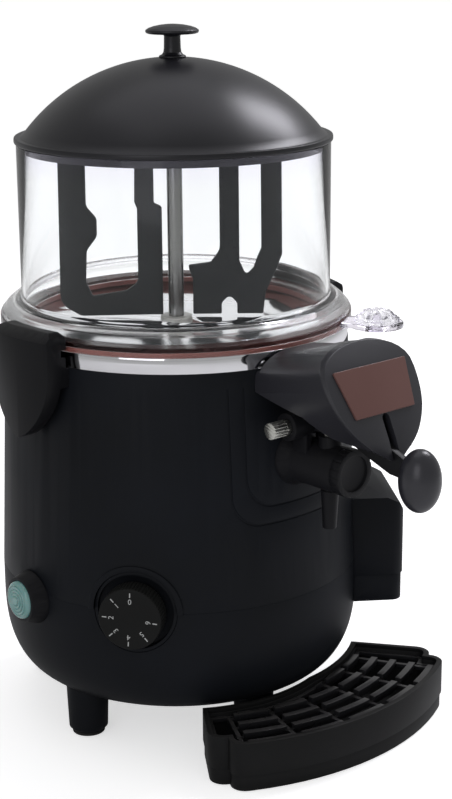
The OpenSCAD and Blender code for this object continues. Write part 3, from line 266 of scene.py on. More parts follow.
plasticShare = {  # what a moulded plastic has unless its own finish says otherwise
    "patch": 9.0, "specular": 0.4, "speckle": 70.0, "dustColour": (0.42, 0.40, 0.37),
    "grainDepth": 0.00004, "grainStrength": 0.35,
}
plasticFinishes = {
    "housingBlack": {"colour": (0.0065, 0.0072, 0.0085), "otherColour": (0.0085, 0.010, 0.0135),
        "grain": 1500.0, "roughness": 0.42, "roughSpread": 0.10, "specular": 0.10, "dust": 0.01},
    "capBlack": {"colour": (0.0075, 0.0078, 0.0085), "otherColour": (0.010, 0.010, 0.012),
        "grain": 1300.0, "roughness": 0.36, "roughSpread": 0.08, "specular": 0.12, "dust": 0.02},
    # the hood's black is a lighter copy of the housing's black: painted light for what its tilted face
    # catches from the lamps
    "hoodBlackPaintedLight": {"colour": (0.022, 0.022, 0.027), "otherColour": (0.029, 0.029, 0.036),
        "grain": 1300.0, "roughness": 0.34, "roughSpread": 0.08, "specular": 0.5, "dust": 0.03},
    # the lever ball's black is a lighter copy of the lever's gloss black: painted highlight for the
    # reflections a gloss ball shows
    "knobBlackPaintedLight": {"colour": (0.020, 0.020, 0.025), "otherColour": (0.027, 0.027, 0.034),
        "grain": 1900.0, "roughness": 0.28, "roughSpread": 0.06, "specular": 0.5, "dust": 0.0},
    "lidBlack": {"colour": (0.006, 0.006, 0.008), "otherColour": (0.008, 0.008, 0.011),
        "grain": 1900.0, "roughness": 0.31, "roughSpread": 0.05, "specular": 0.42, "dust": 0.0, "patch": 7.0},
    "paddleBlack": {"colour": (0.012, 0.014, 0.014), "otherColour": (0.015, 0.017, 0.019),
        "grain": 1000.0, "roughness": 0.5, "roughSpread": 0.1, "specular": 0.15, "dust": 0.0},
    "trayBlack": {"colour": (0.0085, 0.0088, 0.0088), "otherColour": (0.012, 0.012, 0.0125),
        "grain": 1100.0, "roughness": 0.38, "roughSpread": 0.12, "specular": 0.12, "dust": 0.04},
    "grateBlack": {"colour": (0.010, 0.010, 0.011), "otherColour": (0.016, 0.016, 0.018),
        "grain": 1100.0, "roughness": 0.24, "roughSpread": 0.10, "specular": 0.6, "dust": 0.10},
    "dialBlack": {"colour": (0.009, 0.0095, 0.009), "otherColour": (0.012, 0.012, 0.012),
        "grain": 1600.0, "roughness": 0.46, "roughSpread": 0.08, "specular": 0.1, "dust": 0.02},
    "inkWhite": {"colour": (0.40, 0.41, 0.40), "otherColour": (0.50, 0.51, 0.50),
        "grain": 2600.0, "roughness": 0.6, "roughSpread": 0.1, "dust": 0.0},
    "rubberBlack": {"colour": (0.016, 0.016, 0.016), "otherColour": (0.022, 0.022, 0.021),
        "grain": 700.0, "roughness": 0.78, "roughSpread": 0.1, "specular": 0.25, "dust": 0.1},
    "siliconeRed": {"colour": (0.155, 0.045, 0.036), "otherColour": (0.20, 0.062, 0.05),
        "grain": 900.0, "roughness": 0.5, "roughSpread": 0.1, "dust": 0.02},
    "labelBrown": {"colour": (0.135, 0.066, 0.058), "otherColour": (0.160, 0.082, 0.072),
        "grain": 2400.0, "roughness": 0.36, "roughSpread": 0.08, "specular": 0.25, "dust": 0.02},
    "naturalPlastic": {"colour": (0.50, 0.49, 0.45), "otherColour": (0.58, 0.57, 0.53),
        "grain": 1200.0, "roughness": 0.42, "roughSpread": 0.1, "dust": 0.03},
    "motorPaint": {"colour": (0.07, 0.075, 0.085), "otherColour": (0.09, 0.095, 0.10),
        "grain": 800.0, "roughness": 0.5, "roughSpread": 0.1, "dust": 0.1},
}


def mouldedPlastic(name, own):
    v = {**plasticShare, **own}
    material, tree, shader = newMaterial(name)
    grain = placeGroup(tree, mouldedGrain, {"Grain Scale": v["grain"], "Patch Scale": v["patch"]})
    dust = placeGroup(tree, settledDust, {"Amount": v["dust"], "Speckle": v["speckle"]})
    tone = mixColours(tree, grain["Patch"], v["colour"], v["otherColour"])
    tree.links.new(mixColours(tree, dust["Dust"], tone, v["dustColour"]), shader.inputs["Base Color"])
    rough = mathNode(tree, "MULTIPLY_ADD", grain["Patch"], v["roughSpread"], v["roughness"])
    tree.links.new(rough, shader.inputs["Roughness"])
    shader.inputs["Specular IOR Level"].default_value = v["specular"]
    addBump(tree, shader, grain["Height"], v["grainDepth"], v["grainStrength"])
    return material


metalShare = {"grain": 400.0, "patch": 14.0, "lineDepth": 0.00002, "lineStrength": 0.3}
metalFinishes = {
    "mirrorSteel": {"colour": (0.86, 0.86, 0.88), "otherColour": (0.74, 0.74, 0.76),
        "roughness": 0.07, "lines": 900.0, "contrast": 0.06},
    "shaftSteel": {"colour": (0.20, 0.20, 0.19), "otherColour": (0.15, 0.15, 0.15),
        "roughness": 0.22, "lines": 900.0, "contrast": 0.15},
    "pinSteel": {"colour": (0.72, 0.72, 0.66), "otherColour": (0.56, 0.56, 0.52),
        "roughness": 0.28, "lines": 1200.0, "contrast": 0.2},
    "sheetSteel": {"colour": (0.50, 0.51, 0.52), "otherColour": (0.42, 0.43, 0.44),
        "roughness": 0.38, "lines": 300.0, "contrast": 0.25},
    "castMetal": {"colour": (0.38, 0.39, 0.40), "otherColour": (0.30, 0.31, 0.32),
        "roughness": 0.5, "lines": 120.0, "contrast": 0.2},
}


def metalSurface(name, own):
    v = {**metalShare, **own}
    material, tree, shader = newMaterial(name)
    lines = placeGroup(tree, turnedLines, {"Line Scale": v["lines"], "Contrast": v["contrast"]})
    grain = placeGroup(tree, mouldedGrain, {"Grain Scale": v["grain"], "Patch Scale": v["patch"]})
    tone = mixColours(tree, grain["Patch"], v["colour"], v["otherColour"])
    tree.links.new(tone, shader.inputs["Base Color"])
    rough = mathNode(tree, "ADD", lines["Lines"], v["roughness"], clamp=True)
    tree.links.new(rough, shader.inputs["Roughness"])
    shader.inputs["Metallic"].default_value = 1.0
    addBump(tree, shader, lines["Lines"], v["lineDepth"], v["lineStrength"])
    return material


# Heights are metres over the floor: the tint and the frost change from the first to the second
clearShare = {"grain": 220.0, "patch": 6.0, "roughSpread": 0.02}
clearFinishes = {
    "bowlClear": {"colour": (0.93, 0.94, 0.945), "otherColour": (0.86, 0.85, 0.93), "tint": (0.425, 0.447),
        "roughness": 0.02, "frost": (0.322, 0.334), "frosted": 0.16, "bend": 1.27},
    "collarClear": {"colour": (0.80, 0.77, 0.84), "otherColour": (0.93, 0.93, 0.95), "tint": (0.318, 0.335),
        "roughness": 0.05, "frost": (0.31, 0.32), "frosted": 0.12, "bend": 1.35},
    "capClear": {"colour": (0.93, 0.92, 0.97), "otherColour": (0.97, 0.97, 0.985), "tint": (0.318, 0.33),
        "roughness": 0.22, "frost": (0.31, 0.32), "frosted": 0.3, "bend": 1.33},
}


def heightBlend(tree, height, between, values):
    node = tree.nodes.new("ShaderNodeMapRange")
    for label, value in zip(("From Min", "From Max", "To Min", "To Max"), between + values):
        node.inputs[label].default_value = value
    tree.links.new(height, node.inputs["Value"])
    return node.outputs[0]


def letLampsThrough(tree, shader, tint):
    # lamps pass the clear wall, so what stands inside is lit
    out = tree.nodes["Material Output"]
    path = tree.nodes.new("ShaderNodeLightPath")
    clear = tree.nodes.new("ShaderNodeBsdfTransparent")
    clear.inputs["Color"].default_value = (*tint, 1)
    mix = tree.nodes.new("ShaderNodeMixShader")
    tree.links.new(path.outputs["Is Shadow Ray"], mix.inputs[0])
    tree.links.new(shader.outputs[0], mix.inputs[1])
    tree.links.new(clear.outputs[0], mix.inputs[2])
    tree.links.new(mix.outputs[0], out.inputs["Surface"])


def clearPlastic(name, own):
    v = {**clearShare, **own}
    material, tree, shader = newMaterial(name)
    height = splitPoint(tree, objectPoint(tree))["Z"]
    tint = heightBlend(tree, height, v["tint"], (0.0, 1.0))
    frost = heightBlend(tree, height, v["frost"], (v["frosted"], v["roughness"]))
    haze = placeGroup(tree, mouldedGrain, {"Grain Scale": v["grain"], "Patch Scale": v["patch"]})
    tree.links.new(mixColours(tree, tint, v["colour"], v["otherColour"]), shader.inputs["Base Color"])
    rough = mathNode(tree, "MULTIPLY_ADD", haze["Patch"], v["roughSpread"], frost)
    tree.links.new(rough, shader.inputs["Roughness"])
    shader.inputs["Transmission Weight"].default_value = 1.0
    shader.inputs["IOR"].default_value = v["bend"]
    letLampsThrough(tree, shader, v["colour"])
    return material


lensFinish = {
    "colour": (0.10, 0.27, 0.26), "otherColour": (0.21, 0.40, 0.38), "grain": 500.0, "patch": 60.0,
    "roughness": 0.16, "roughSpread": 0.1, "specular": 0.6, "coat": 0.5, "coatRoughness": 0.1,
    "milk": 0.3, "milkScale": 0.01,
}


def buildLensGreen(v):
    material, tree, shader = newMaterial("lensGreen")
    grain = placeGroup(tree, mouldedGrain, {"Grain Scale": v["grain"], "Patch Scale": v["patch"]})
    tone = mixColours(tree, grain["Patch"], v["colour"], v["otherColour"])
    tree.links.new(tone, shader.inputs["Base Color"])
    rough = mathNode(tree, "MULTIPLY_ADD", grain["Patch"], v["roughSpread"], v["roughness"])
    tree.links.new(rough, shader.inputs["Roughness"])
    shader.inputs["Specular IOR Level"].default_value = v["specular"]
    shader.inputs["Coat Weight"].default_value = v["coat"]
    shader.inputs["Coat Roughness"].default_value = v["coatRoughness"]
    shader.inputs["Subsurface Weight"].default_value = v["milk"]
    shader.inputs["Subsurface Scale"].default_value = v["milkScale"]
    return material


materials = {name: mouldedPlastic(name, v) for name, v in plasticFinishes.items()}
materials.update({name: metalSurface(name, v) for name, v in metalFinishes.items()})
materials.update({name: clearPlastic(name, v) for name, v in clearFinishes.items()})
materials["lensGreen"] = buildLensGreen(lensFinish)
print("materials ready:", len(materials))


# Tools that several pieces share
def register(obj, body, nodes, materialName):
    if materialName:
        obj.data.materials.clear()
        obj.data.materials.append(materials[materialName])
    if obj.name not in bpy.context.scene.collection.objects:
        bpy.context.scene.collection.objects.link(obj)
    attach(obj, body)
    if nodes:
        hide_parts(*nodes)


def smoothByAngle(mesh, degrees):
    mesh.polygons.foreach_set("use_smooth", [True] * len(mesh.polygons))
    mesh.set_sharp_from_angle(angle=math.radians(degrees))


def applyModifiers(obj, name):
    # the evaluated shape as a plain mesh; the object it came from goes
    scene = bpy.context.scene.collection
    if obj.name not in scene.objects:
        scene.objects.link(obj)
    bpy.context.view_layer.update()
    graph = bpy.context.evaluated_depsgraph_get()
    mesh = bpy.data.meshes.new_from_object(obj.evaluated_get(graph))
    mesh.name = name
    result = bpy.data.objects.new(name, mesh)
    bpy.data.objects.remove(obj)
    return result


def mergeDoubles(mesh, distance, faceOutwards=False):
    work = bmesh.new()
    work.from_mesh(mesh)
    bmesh.ops.remove_doubles(work, verts=work.verts, dist=distance)
    if faceOutwards:
        bmesh.ops.recalc_face_normals(work, faces=work.faces)
    work.to_mesh(mesh)
    work.free()


def joinInto(obj, others):
    work = bmesh.new()
    work.from_mesh(obj.data)
    for other in others:
        work.from_mesh(other.data)
        bpy.data.objects.remove(other)
    work.to_mesh(obj.data)
    work.free()


def meshObject(name, verts, faces, smooth=35):
    work = bmesh.new()
    points = [work.verts.new(v) for v in verts]
    for face in faces:
        work.faces.new([points[i] for i in face])
    bmesh.ops.remove_doubles(work, verts=work.verts, dist=1e-6)
    bmesh.ops.recalc_face_normals(work, faces=work.faces)
    mesh = bpy.data.meshes.new(name)
    work.to_mesh(mesh)
    work.free()
    smoothByAngle(mesh, smooth)
    return bpy.data.objects.new(name, mesh)


def turned(name, profile, turns, closed=True, smooth=35):
    # a lathe body round the machine's axis; the profile is (radius, height) in millimetres
    verts, faces = [], []
    count = len(profile)
    for k in range(turns):
        angle = 2 * math.pi * k / turns
        verts += [(mm(r) * math.sin(angle), -mm(r) * math.cos(angle), mm(z)) for r, z in profile]
    for k in range(turns):
        a, b = k * count, (k + 1) % turns * count
        for i in range(count if closed else count - 1):
            j = (i + 1) % count
            faces.append((a + i, a + j, b + j, b + i))
    return meshObject(name, verts, faces, smooth)


def buildTurnedCopies():
    # copies a piece round its own z axis; the seed fixes the small scatter of the copies
    tree = bpy.data.node_groups.new("turnedCopies", "GeometryNodeTree")
    face = tree.interface
    face.new_socket("Geometry", in_out="INPUT", socket_type="NodeSocketGeometry")
    for label, kind, value in (("Count", "Int", 12), ("First Angle", "Float", 0.0), ("Step", "Float", 0.5),
                               ("Scatter", "Float", 0.0), ("Seed", "Int", 7)):
        face.new_socket(label, in_out="INPUT", socket_type="NodeSocket" + kind).default_value = value
    face.new_socket("Material", in_out="INPUT", socket_type="NodeSocketMaterial")
    face.new_socket("Geometry", in_out="OUTPUT", socket_type="NodeSocketGeometry")
    nodes, link = tree.nodes, tree.links.new
    given, result = nodes.new("NodeGroupInput").outputs, nodes.new("NodeGroupOutput").inputs
    points = nodes.new("GeometryNodeMeshLine")
    points.mode = "OFFSET"
    points.inputs["Offset"].default_value = (0, 0, 0)
    link(given["Count"], points.inputs["Count"])
    scatter = nodes.new("FunctionNodeRandomValue")
    scatter.data_type = "FLOAT"
    link(mathNode(tree, "MULTIPLY", given["Scatter"], -1.0), scatter.inputs[2])
    link(given["Scatter"], scatter.inputs[3])
    link(given["Seed"], scatter.inputs["Seed"])
    steps = mathNode(tree, "MULTIPLY", nodes.new("GeometryNodeInputIndex").outputs[0], given["Step"])
    angle = mathNode(tree, "ADD", mathNode(tree, "ADD", steps, given["First Angle"]), scatter.outputs[1])
    axis = nodes.new("ShaderNodeCombineXYZ")
    link(angle, axis.inputs["Z"])
    spin = nodes.new("FunctionNodeEulerToRotation")
    link(axis.outputs[0], spin.inputs[0])
    copies = nodes.new("GeometryNodeInstanceOnPoints")
    link(points.outputs[0], copies.inputs["Points"])
    link(given["Geometry"], copies.inputs["Instance"])
    link(spin.outputs[0], copies.inputs["Rotation"])
    real = nodes.new("GeometryNodeRealizeInstances")
    link(copies.outputs[0], real.inputs[0])
    finish = nodes.new("GeometryNodeSetMaterial")
    link(real.outputs[0], finish.inputs["Geometry"])
    link(given["Material"], finish.inputs["Material"])
    link(finish.outputs[0], result[0])
    return tree


turnedCopies = buildTurnedCopies()


def repeated(obj, name, values):
    modifier = obj.modifiers.new("turnedCopies", "NODES")
    modifier.node_group = turnedCopies
    for item in turnedCopies.interface.items_tree:
        if item.in_out == "INPUT" and item.name in values:
            modifier[item.identifier] = values[item.name]
    made = applyModifiers(obj, name)
    mergeDoubles(made.data, 3e-6, faceOutwards=True)
    smoothByAngle(made.data, 38)
    return made


def flutedBody(name, rows, count, columns, reach, materialName):
    # rows are (radius, height, share of the flute's depth), from the axis to the axis; one sector is copied
    verts, faces = [], []
    for row in rows:
        for k in range(columns + 1):
            angle = 2 * math.pi * k / (columns * count)
            x, y = circlePoint(mm(reach(row, angle)), angle)
            verts.append((x, y, mm(row[1])))
    for i in range(len(rows) - 1):
        for k in range(columns):
            a = i * (columns + 1) + k
            faces.append((a, a + columns + 1, a + columns + 2, a + 1))
    sector = meshObject(name + "Sector", verts, faces)
    values = {"Count": count, "Step": 2 * math.pi / count, "Material": materials[materialName]}
    return repeated(sector, name, values)


def roundedLoop(points, steps):
    # points are (x, y, radius); each corner is rounded by its radius
    loop = []
    count = len(points)
    for i, (x, y, r) in enumerate(points):
        here = Vector((x, y))
        before = Vector(points[i - 1][:2]) - here
        after = Vector(points[(i + 1) % count][:2]) - here
        if r <= 0 or before.length < 1e-6 or after.length < 1e-6:
            loop.append((x, y))
            continue
        half = before.angle(after) / 2
        reach = min(r / max(math.tan(half), 1e-3), before.length * 0.49, after.length * 0.49)
        a, b = here + before.normalized() * reach, here + after.normalized() * reach
        for k in range(steps + 1):
            t = k / steps
            p = a * (1 - t) ** 2 + here * 2 * t * (1 - t) + b * t ** 2
            loop.append((p.x, p.y))
    return loop


def cutPlate(name, loops, thickness, edge):
    # a flat plate from outlines in millimetres, holes among them, with rounded edges
    data = bpy.data.curves.new(name, "CURVE")
    data.dimensions = "2D"
    data.fill_mode = "BOTH"
    data.extrude = mm(thickness / 2 - edge)
    data.bevel_depth = mm(edge)
    data.bevel_resolution = 2
    data.offset = -mm(edge)
    for loop in loops:
        spline = data.splines.new("POLY")
        spline.points.add(len(loop) - 1)
        for point, (x, y) in zip(spline.points, loop):
            point.co = (mm(x), mm(y), 0, 1)
        spline.use_cyclic_u = True
    obj = applyModifiers(bpy.data.objects.new(name, data), name)
    mergeDoubles(obj.data, 1e-6)
    return obj


def placePlate(plate, place):
    plate.data.transform(place)
    smoothByAngle(plate.data, 35)


def facing(v):
    # local x runs across, local y up and local z outwards, at a bearing round the axis
    a = math.radians(v["bearing"])
    out = mm(v["face"])
    return Matrix(((math.cos(a), 0, math.sin(a), out * math.sin(a)),
                   (math.sin(a), 0, -math.cos(a), -out * math.cos(a)),
                   (0, 1, 0, mm(v["height"])), (0, 0, 0, 1)))


# Clear bowl: wall, ledge and collar in one; its skin is the thickness of the collar and of the seat
bowlValues = {
    "radius": 118.0, "wall": 3.0, "rim": 447.0, "ledge": 330.0, "stepIn": 124.5, "stepOut": 129.0,
    "collar": 134.4, "foot": 311.2, "seat": 314.8, "skin": 2.6,
}


def buildBowl(v):
    radius, rim, ledge, collar = (v[k] for k in ("radius", "rim", "ledge", "collar"))
    stepIn, stepOut, foot, seat = (v[k] for k in ("stepIn", "stepOut", "foot", "seat"))
    inner = radius - v["wall"]
    underside = collar - v["skin"]
    bowlFloor = seat + v["skin"]
    profile = roundedLoop([
        (radius, rim, 0.9), (radius, ledge + 1.5, 2.5), (stepIn, ledge, 2), (stepOut, ledge - 3.5, 2),
        (collar - 1.2, ledge - 8.5, 1.2), (collar, ledge - 11, 1), (collar, foot, 0.5),
        (underside, foot, 0.5), (underside, seat, 0.4), (inner, seat, 0.8), (inner, bowlFloor, 0.8),
        (collar - 3, bowlFloor, 1.2), (collar - 3.6, ledge - 9.5, 1), (stepOut - 2, ledge - 6, 1),
        (stepIn - 2.5, ledge - 3.2, 1.2), (inner, ledge - 3, 2), (inner, rim, 0.9)], 3)
    register(turned("bowlWall", profile, 160), "bowl", ["bowl"], "bowlClear")


buildBowl(bowlValues)


# Filler lug and cap on the bowl's collar
fillerValues = {
    "bearing": 30.0, "reach": 158.0, "lugRadius": 20.0, "lugWidth": 26.0, "lugRoot": 133.6, "lugLow": 313.6,
    "lugHigh": 317.6, "lugEdge": 0.8, "hole": 6.3, "plug": 6.0, "plugLong": 6.8, "capRadius": 17.0,
    "capHigh": 9.4, "flutes": 12, "fluteDeep": 2.6,
}


def buildLug(v, bearing, centre):
    half = v["lugWidth"] / 2
    near = v["reach"] - v["lugRoot"]
    first = math.asin(half / v["lugRadius"])
    outline = []
    for k in range(37):
        t = first + (2 * math.pi - 2 * first) * k / 36
        outline.append((v["lugRadius"] * math.sin(t), v["lugRadius"] * math.cos(t)))
    outline += [(-half, near), (half, near)]
    hole = [circlePoint(v["hole"], 2 * math.pi * k / 32) for k in range(32)]
    lug = cutPlate("fillerLug", [outline, hole], v["lugHigh"] - v["lugLow"], v["lugEdge"])
    middle = Vector((0, 0, mm((v["lugLow"] + v["lugHigh"]) / 2)))
    placePlate(lug, Matrix.Translation(centre + middle) @ Matrix.Rotation(bearing, 4, "Z"))
    register(lug, "bowl", [], "collarClear")


def buildFillerCap(v, centre):
    low, radius = v["lugHigh"] + 0.1, v["capRadius"]
    top, plugEnd = low + v["capHigh"], low - v["plugLong"]
    rows = [(onAxis, top, 0), (radius - 14.4, top, 0.6), (radius - 9.9, top - 0.4, 1),
        (radius - 5.6, low + 7.5, 1), (radius - 2.6, low + 3.6, 1), (radius, low + 3.0, 1),
        (radius, low, 1), (v["plug"], low, 0), (v["plug"], plugEnd, 0), (onAxis, plugEnd, 0)]

    def reach(row, angle):
        return row[0] - row[2] * v["fluteDeep"] * (0.5 + 0.5 * math.cos(angle * v["flutes"])) ** 3

    cap = flutedBody("fillerCap", rows, v["flutes"], 8, reach, "capClear")
    cap.data.transform(Matrix.Translation(centre))
    register(cap, "filler_cap", ["filler_cap"], None)


def buildFiller(v):
    bearing = math.radians(v["bearing"])
    centre = Vector((mm(v["reach"]) * math.sin(bearing), -mm(v["reach"]) * math.cos(bearing), 0))
    buildLug(v, bearing, centre)
    buildFillerCap(v, centre)


buildFiller(fillerValues)
print("bowl and filler ready")


# Lid: a shell between two balls with a flange and a skirt, and its knob
lidValues = {
    "flange": 119.6, "low": 447.2, "rimHigh": 4.0, "dome": 114.0, "rise": 57.0, "wall": 2.5, "skirt": 114.3,
    "skirtDeep": 6.0, "knob": 20.0, "knobHigh": 17.0, "stem": 6.3,
}


def buildLidShell(v):
    base = v["low"] + v["rimHigh"]
    top = base + v["rise"]
    ball = (v["dome"] ** 2 + v["rise"] ** 2) / (2 * v["rise"])
    centre = top - ball

    def arc(inset, count):
        radius = ball - inset
        sweep = math.acos((ball - v["rise"]) / radius)
        angles = [sweep * i / count for i in range(count + 1)]
        return [(radius * math.sin(angle), centre + radius * math.cos(angle)) for angle in angles]

    skirtIn, skirtLow = v["skirt"] - v["wall"], v["low"] - v["skirtDeep"]
    rim = roundedLoop([(v["dome"] + 1.2, base + 0.1, 1.0), (v["flange"] - 0.2, base + 0.2, 1.1),
        (v["flange"], v["low"], 1.4), (v["skirt"], v["low"], 0.4), (v["skirt"], skirtLow, 0.5),
        (skirtIn, skirtLow, 0.5), (skirtIn, base, 1.5)], 4)
    profile = [(onAxis, top)] + arc(0, 40)[1:-1] + rim + arc(v["wall"], 30)[-2::-1]
    register(turned("lidDome", profile, 144, closed=False), "lid", ["lid_shell"], "lidBlack")


def buildLidKnob(v):
    under = v["low"] + v["rimHigh"] + v["rise"] - 0.4
    cap = under + 0.4 + v["knobHigh"]
    line = [(onAxis, under), (10.2, under - 0.1), (10.0, under + 1.4), (8.0, under + 2.2), (6.7, under + 4.0),
        (v["stem"], under + 7), (v["stem"] - 0.2, cap - 2), (v["stem"] + 0.6, cap - 0.3), (9, cap + 0.4),
        (17.6, cap - 0.1), (19.4, cap + 0.5), (v["knob"], cap + 1.8), (19.6, cap + 2.8), (17.5, cap + 4.1),
        (14, cap + 5.3), (9, cap + 6.3), (4, cap + 6.85), (onAxis, cap + 6.95)]
    profile = roundedLoop([(r, z, 1.2) for r, z in line], 3)
    knob = turned("lidKnob", profile, 96, closed=False, smooth=50)
    register(knob, "lid", ["lid_knob"], "lidBlack")


buildLidShell(lidValues)
buildLidKnob(lidValues)
print("lid ready")


# Stirrer: one flat plate with two windows, and a hub at its top
paddleValues = {
    "bearing": -40.0, "thickness": 5.0, "edge": 1.0, "low": 313.0, "top": 456.0,
    "bore": 6.06, "hub": 11.0, "hubHigh": 14.0,
}


def buildStirrer(v):
    low, top = v["low"], v["top"]
    outer = roundedLoop([
        (-89, top, 1), (-89, low + 9, 14), (-73, low, 10), (-10, low, 1), (-10, 392, 3), (-16, 394.5, 2),
        (-16, top - 12, 2), (20, top - 12, 2), (34, top - 12, 3), (34, 360, 9), (27, 351, 4), (10, 349, 2),
        (10, low + 34, 1), (13, low + 26, 2), (13, low, 1), (35, low, 1), (35, low + 8, 5), (41, low + 14, 5),
        (47, low + 8, 5), (47, low, 1), (67, low, 1), (69, low + 16, 5), (77, low + 32, 7), (82, low + 44, 7),
        (82, top, 1)], 5)
    leftWindow = roundedLoop([
        (-68, top - 12, 2), (-68, 393, 7), (-60, 384, 6), (-60, 371, 6), (-68, 361, 7), (-69, 338, 6),
        (-64, 327.5, 1.5), (-38, 331, 6), (-29, 337, 7), (-29, 391, 2), (-31, 396, 2), (-30, top - 12, 2)], 5)
    rightWindow = roundedLoop([
        (49, top - 12, 2), (49, 352, 7), (54, 341, 6), (60, 347, 4), (63, 355, 4), (66, 361, 6),
        (66, top - 12, 2)], 5)
    plate = cutPlate("stirrerPaddles", [outer, leftWindow, rightWindow], v["thickness"], v["edge"])
    bearing = math.radians(v["bearing"])
    placePlate(plate, Matrix.Rotation(bearing, 4, "Z") @ Matrix.Rotation(math.pi / 2, 4, "X"))
    hubLow = top - v["hubHigh"]
    hubProfile = roundedLoop([
        (v["bore"], hubLow, 0.4), (v["hub"], hubLow, 1), (v["hub"], top, 1.2), (v["bore"], top, 0.4)], 3)
    joinInto(plate, [turned("hub", hubProfile, 64)])
    register(plate, "stirrer", ["stirrer"], "paddleBlack")


buildStirrer(paddleValues)
print("stirrer ready")


# Thermostat dial with its ticks and digits
dialValues = {
    "bearing": -54.0, "height": 122.6, "face": 154.0, "diameter": 47.0, "depth": 16.0, "bore": 3.2,
    "boreDeep": 10.0, "knurls": 60, "knurlDeep": 0.55, "ticks": 7, "firstAngle": 88.0, "step": 44.5,
    "tickOut": 20.5, "tickLong": 3.4, "tickHalf": 0.4, "tickSunk": 0.1, "tickProud": 0.12, "scatter": 0.004,
    "seed": 7, "digitAt": 13.6, "digitSize": 5.6, "digitHalf": 0.08,
}


def buildDial(v):
    radius, depth, bore, boreEnd = v["diameter"] / 2, v["depth"], v["bore"], -v["boreDeep"]
    rows = [(onAxis, 0, 0), (14, 0, 0), (radius - 1.7, 0, 0), (radius - 0.9, -0.15, 0),
        (radius - 0.4, -0.6, 0.2), (radius, -1.6, 1.0), (radius, -9, 1.0), (radius, 0.5 - depth, 1.0),
        (radius - 0.5, -depth, 0.4), (bore, -depth, 0), (bore, boreEnd, 0), (onAxis, boreEnd, 0)]

    def reach(row, angle):
        return row[0] - v["knurlDeep"] * row[2] * max(0.0, math.cos(angle * v["knurls"])) ** 2

    knob = flutedBody("dialKnob", rows, v["knurls"], 6, reach, "dialBlack")
    knob.data.transform(facing(v))
    register(knob, "dial", ["dial_knob"], None)


def buildDigit(v, number):
    data = bpy.data.curves.new("digit", "FONT")
    data.body = str(number)
    data.size = mm(v["digitSize"])
    data.align_x = "CENTER"
    data.align_y = "CENTER"
    data.extrude = mm(v["digitHalf"])
    digit = applyModifiers(bpy.data.objects.new("digit", data), "digitMesh")
    angle = math.radians(v["firstAngle"] + v["step"] * number)
    x, y = circlePoint(mm(v["digitAt"]), angle)
    digit.data.transform(Matrix.Translation((x, y, 0)) @ Matrix.Rotation(angle - math.pi / 2, 4, "Z"))
    return digit


def buildDialMarks(v):
    inner, outer, half = mm(v["tickOut"] - v["tickLong"]), mm(v["tickOut"]), mm(v["tickHalf"])
    corners = ((inner, -half), (outer, -half), (outer, half), (inner, half))
    verts = [(x, y, z) for z in (-mm(v["tickSunk"]), mm(v["tickProud"])) for x, y in corners]
    sides = [(3, 2, 1, 0), (4, 5, 6, 7), (0, 1, 5, 4), (1, 2, 6, 5), (2, 3, 7, 6), (3, 0, 4, 7)]
    marks = repeated(meshObject("dialTick", verts, sides), "dialTicks", {
        "Count": v["ticks"], "First Angle": math.radians(v["firstAngle"]), "Step": math.radians(v["step"]),
        "Scatter": v["scatter"], "Seed": v["seed"], "Material": materials["inkWhite"]})
    joinInto(marks, [buildDigit(v, number) for number in range(v["ticks"])])
    marks.data.transform(facing(v))
    register(marks, "dial", [], "inkWhite")


buildDial(dialValues)
buildDialMarks(dialValues)
print("dial ready")


# Pilot lamp: a stepped lens; each ring rises a little over the one outside it
lampLensValues = {
    "bearing": -93.0, "height": 116.0, "face": 148.0, "diameter": 29.0, "rings": 4, "ringLow": 6.3,
    "ringRise": 1.7, "turns": 96,
}


def buildLampLens(v):
    half, rings, turns = v["diameter"] / 2, v["rings"], v["turns"]
    line = [(half - 0.1, -0.2), (half, 3.4), (half - 0.5, 4.8), (half - 1.6, 5.8), (half - 2.6, 6.2)]
    pitch = (half - 3.0) / (rings + 0.6)
    for k in range(rings):
        edge = half - 2.8 - k * pitch
        lift = v["ringLow"] + v["ringRise"] * (k + 1) / rings
        line += [(edge, lift - 0.9), (edge - 0.5, lift - 1.1), (edge - 0.9, lift - 0.3),
            (edge - pitch * 0.5, lift), (edge - pitch * 0.92, lift - 0.2)]
    line.append((onAxis, line[-1][1] + 0.2))
    verts, faces = [], []
    for r, z in line:
        verts += [(*circlePoint(mm(r), 2 * math.pi * k / turns), mm(z)) for k in range(turns)]
    for i in range(len(line) - 1):
        for k in range(turns):
            n = (k + 1) % turns
            faces.append((i * turns + k, i * turns + n, (i + 1) * turns + n, (i + 1) * turns + k))
    lens = meshObject("lampLens", verts, faces, 38)
    lens.data.transform(facing(v))
    register(lens, "housing", ["lamp_lens"], "lensGreen")


buildLampLens(lampLensValues)
print("pilot lamp ready")


# Plate on the hood; high and low are (distance from the axis, height) of the face it lies on
plateValues = {
    "high": (203.7, 310.5), "low": (220.0, 280.0), "topHalf": 35.3, "lowHalf": 28.8, "drop": 35.0,
    "thick": 2.0, "corner": 1.2, "edge": 0.5,
}


def buildLabelPlate(v):
    (highOut, highUp), (lowOut, lowUp) = v["high"], v["low"]
    tilt = math.atan2(lowOut - highOut, highUp - lowUp)
    corners = ((-v["topHalf"], 0), (v["topHalf"], 0), (v["lowHalf"], -v["drop"]), (-v["lowHalf"], -v["drop"]))
    outline = roundedLoop([(x, y, v["corner"]) for x, y in corners], 3)
    plate = cutPlate("labelPlate", [outline], v["thick"], v["edge"])
    place = (Matrix.Translation((0, -mm(highOut), mm(highUp))) @ Matrix.Rotation(math.pi / 2 - tilt, 4, "X")
             @ Matrix.Translation((0, 0, mm(v["thick"] / 2))))
    placePlate(plate, place)
    register(plate, "housing", ["label_plate"], "labelBrown")


buildLabelPlate(plateValues)


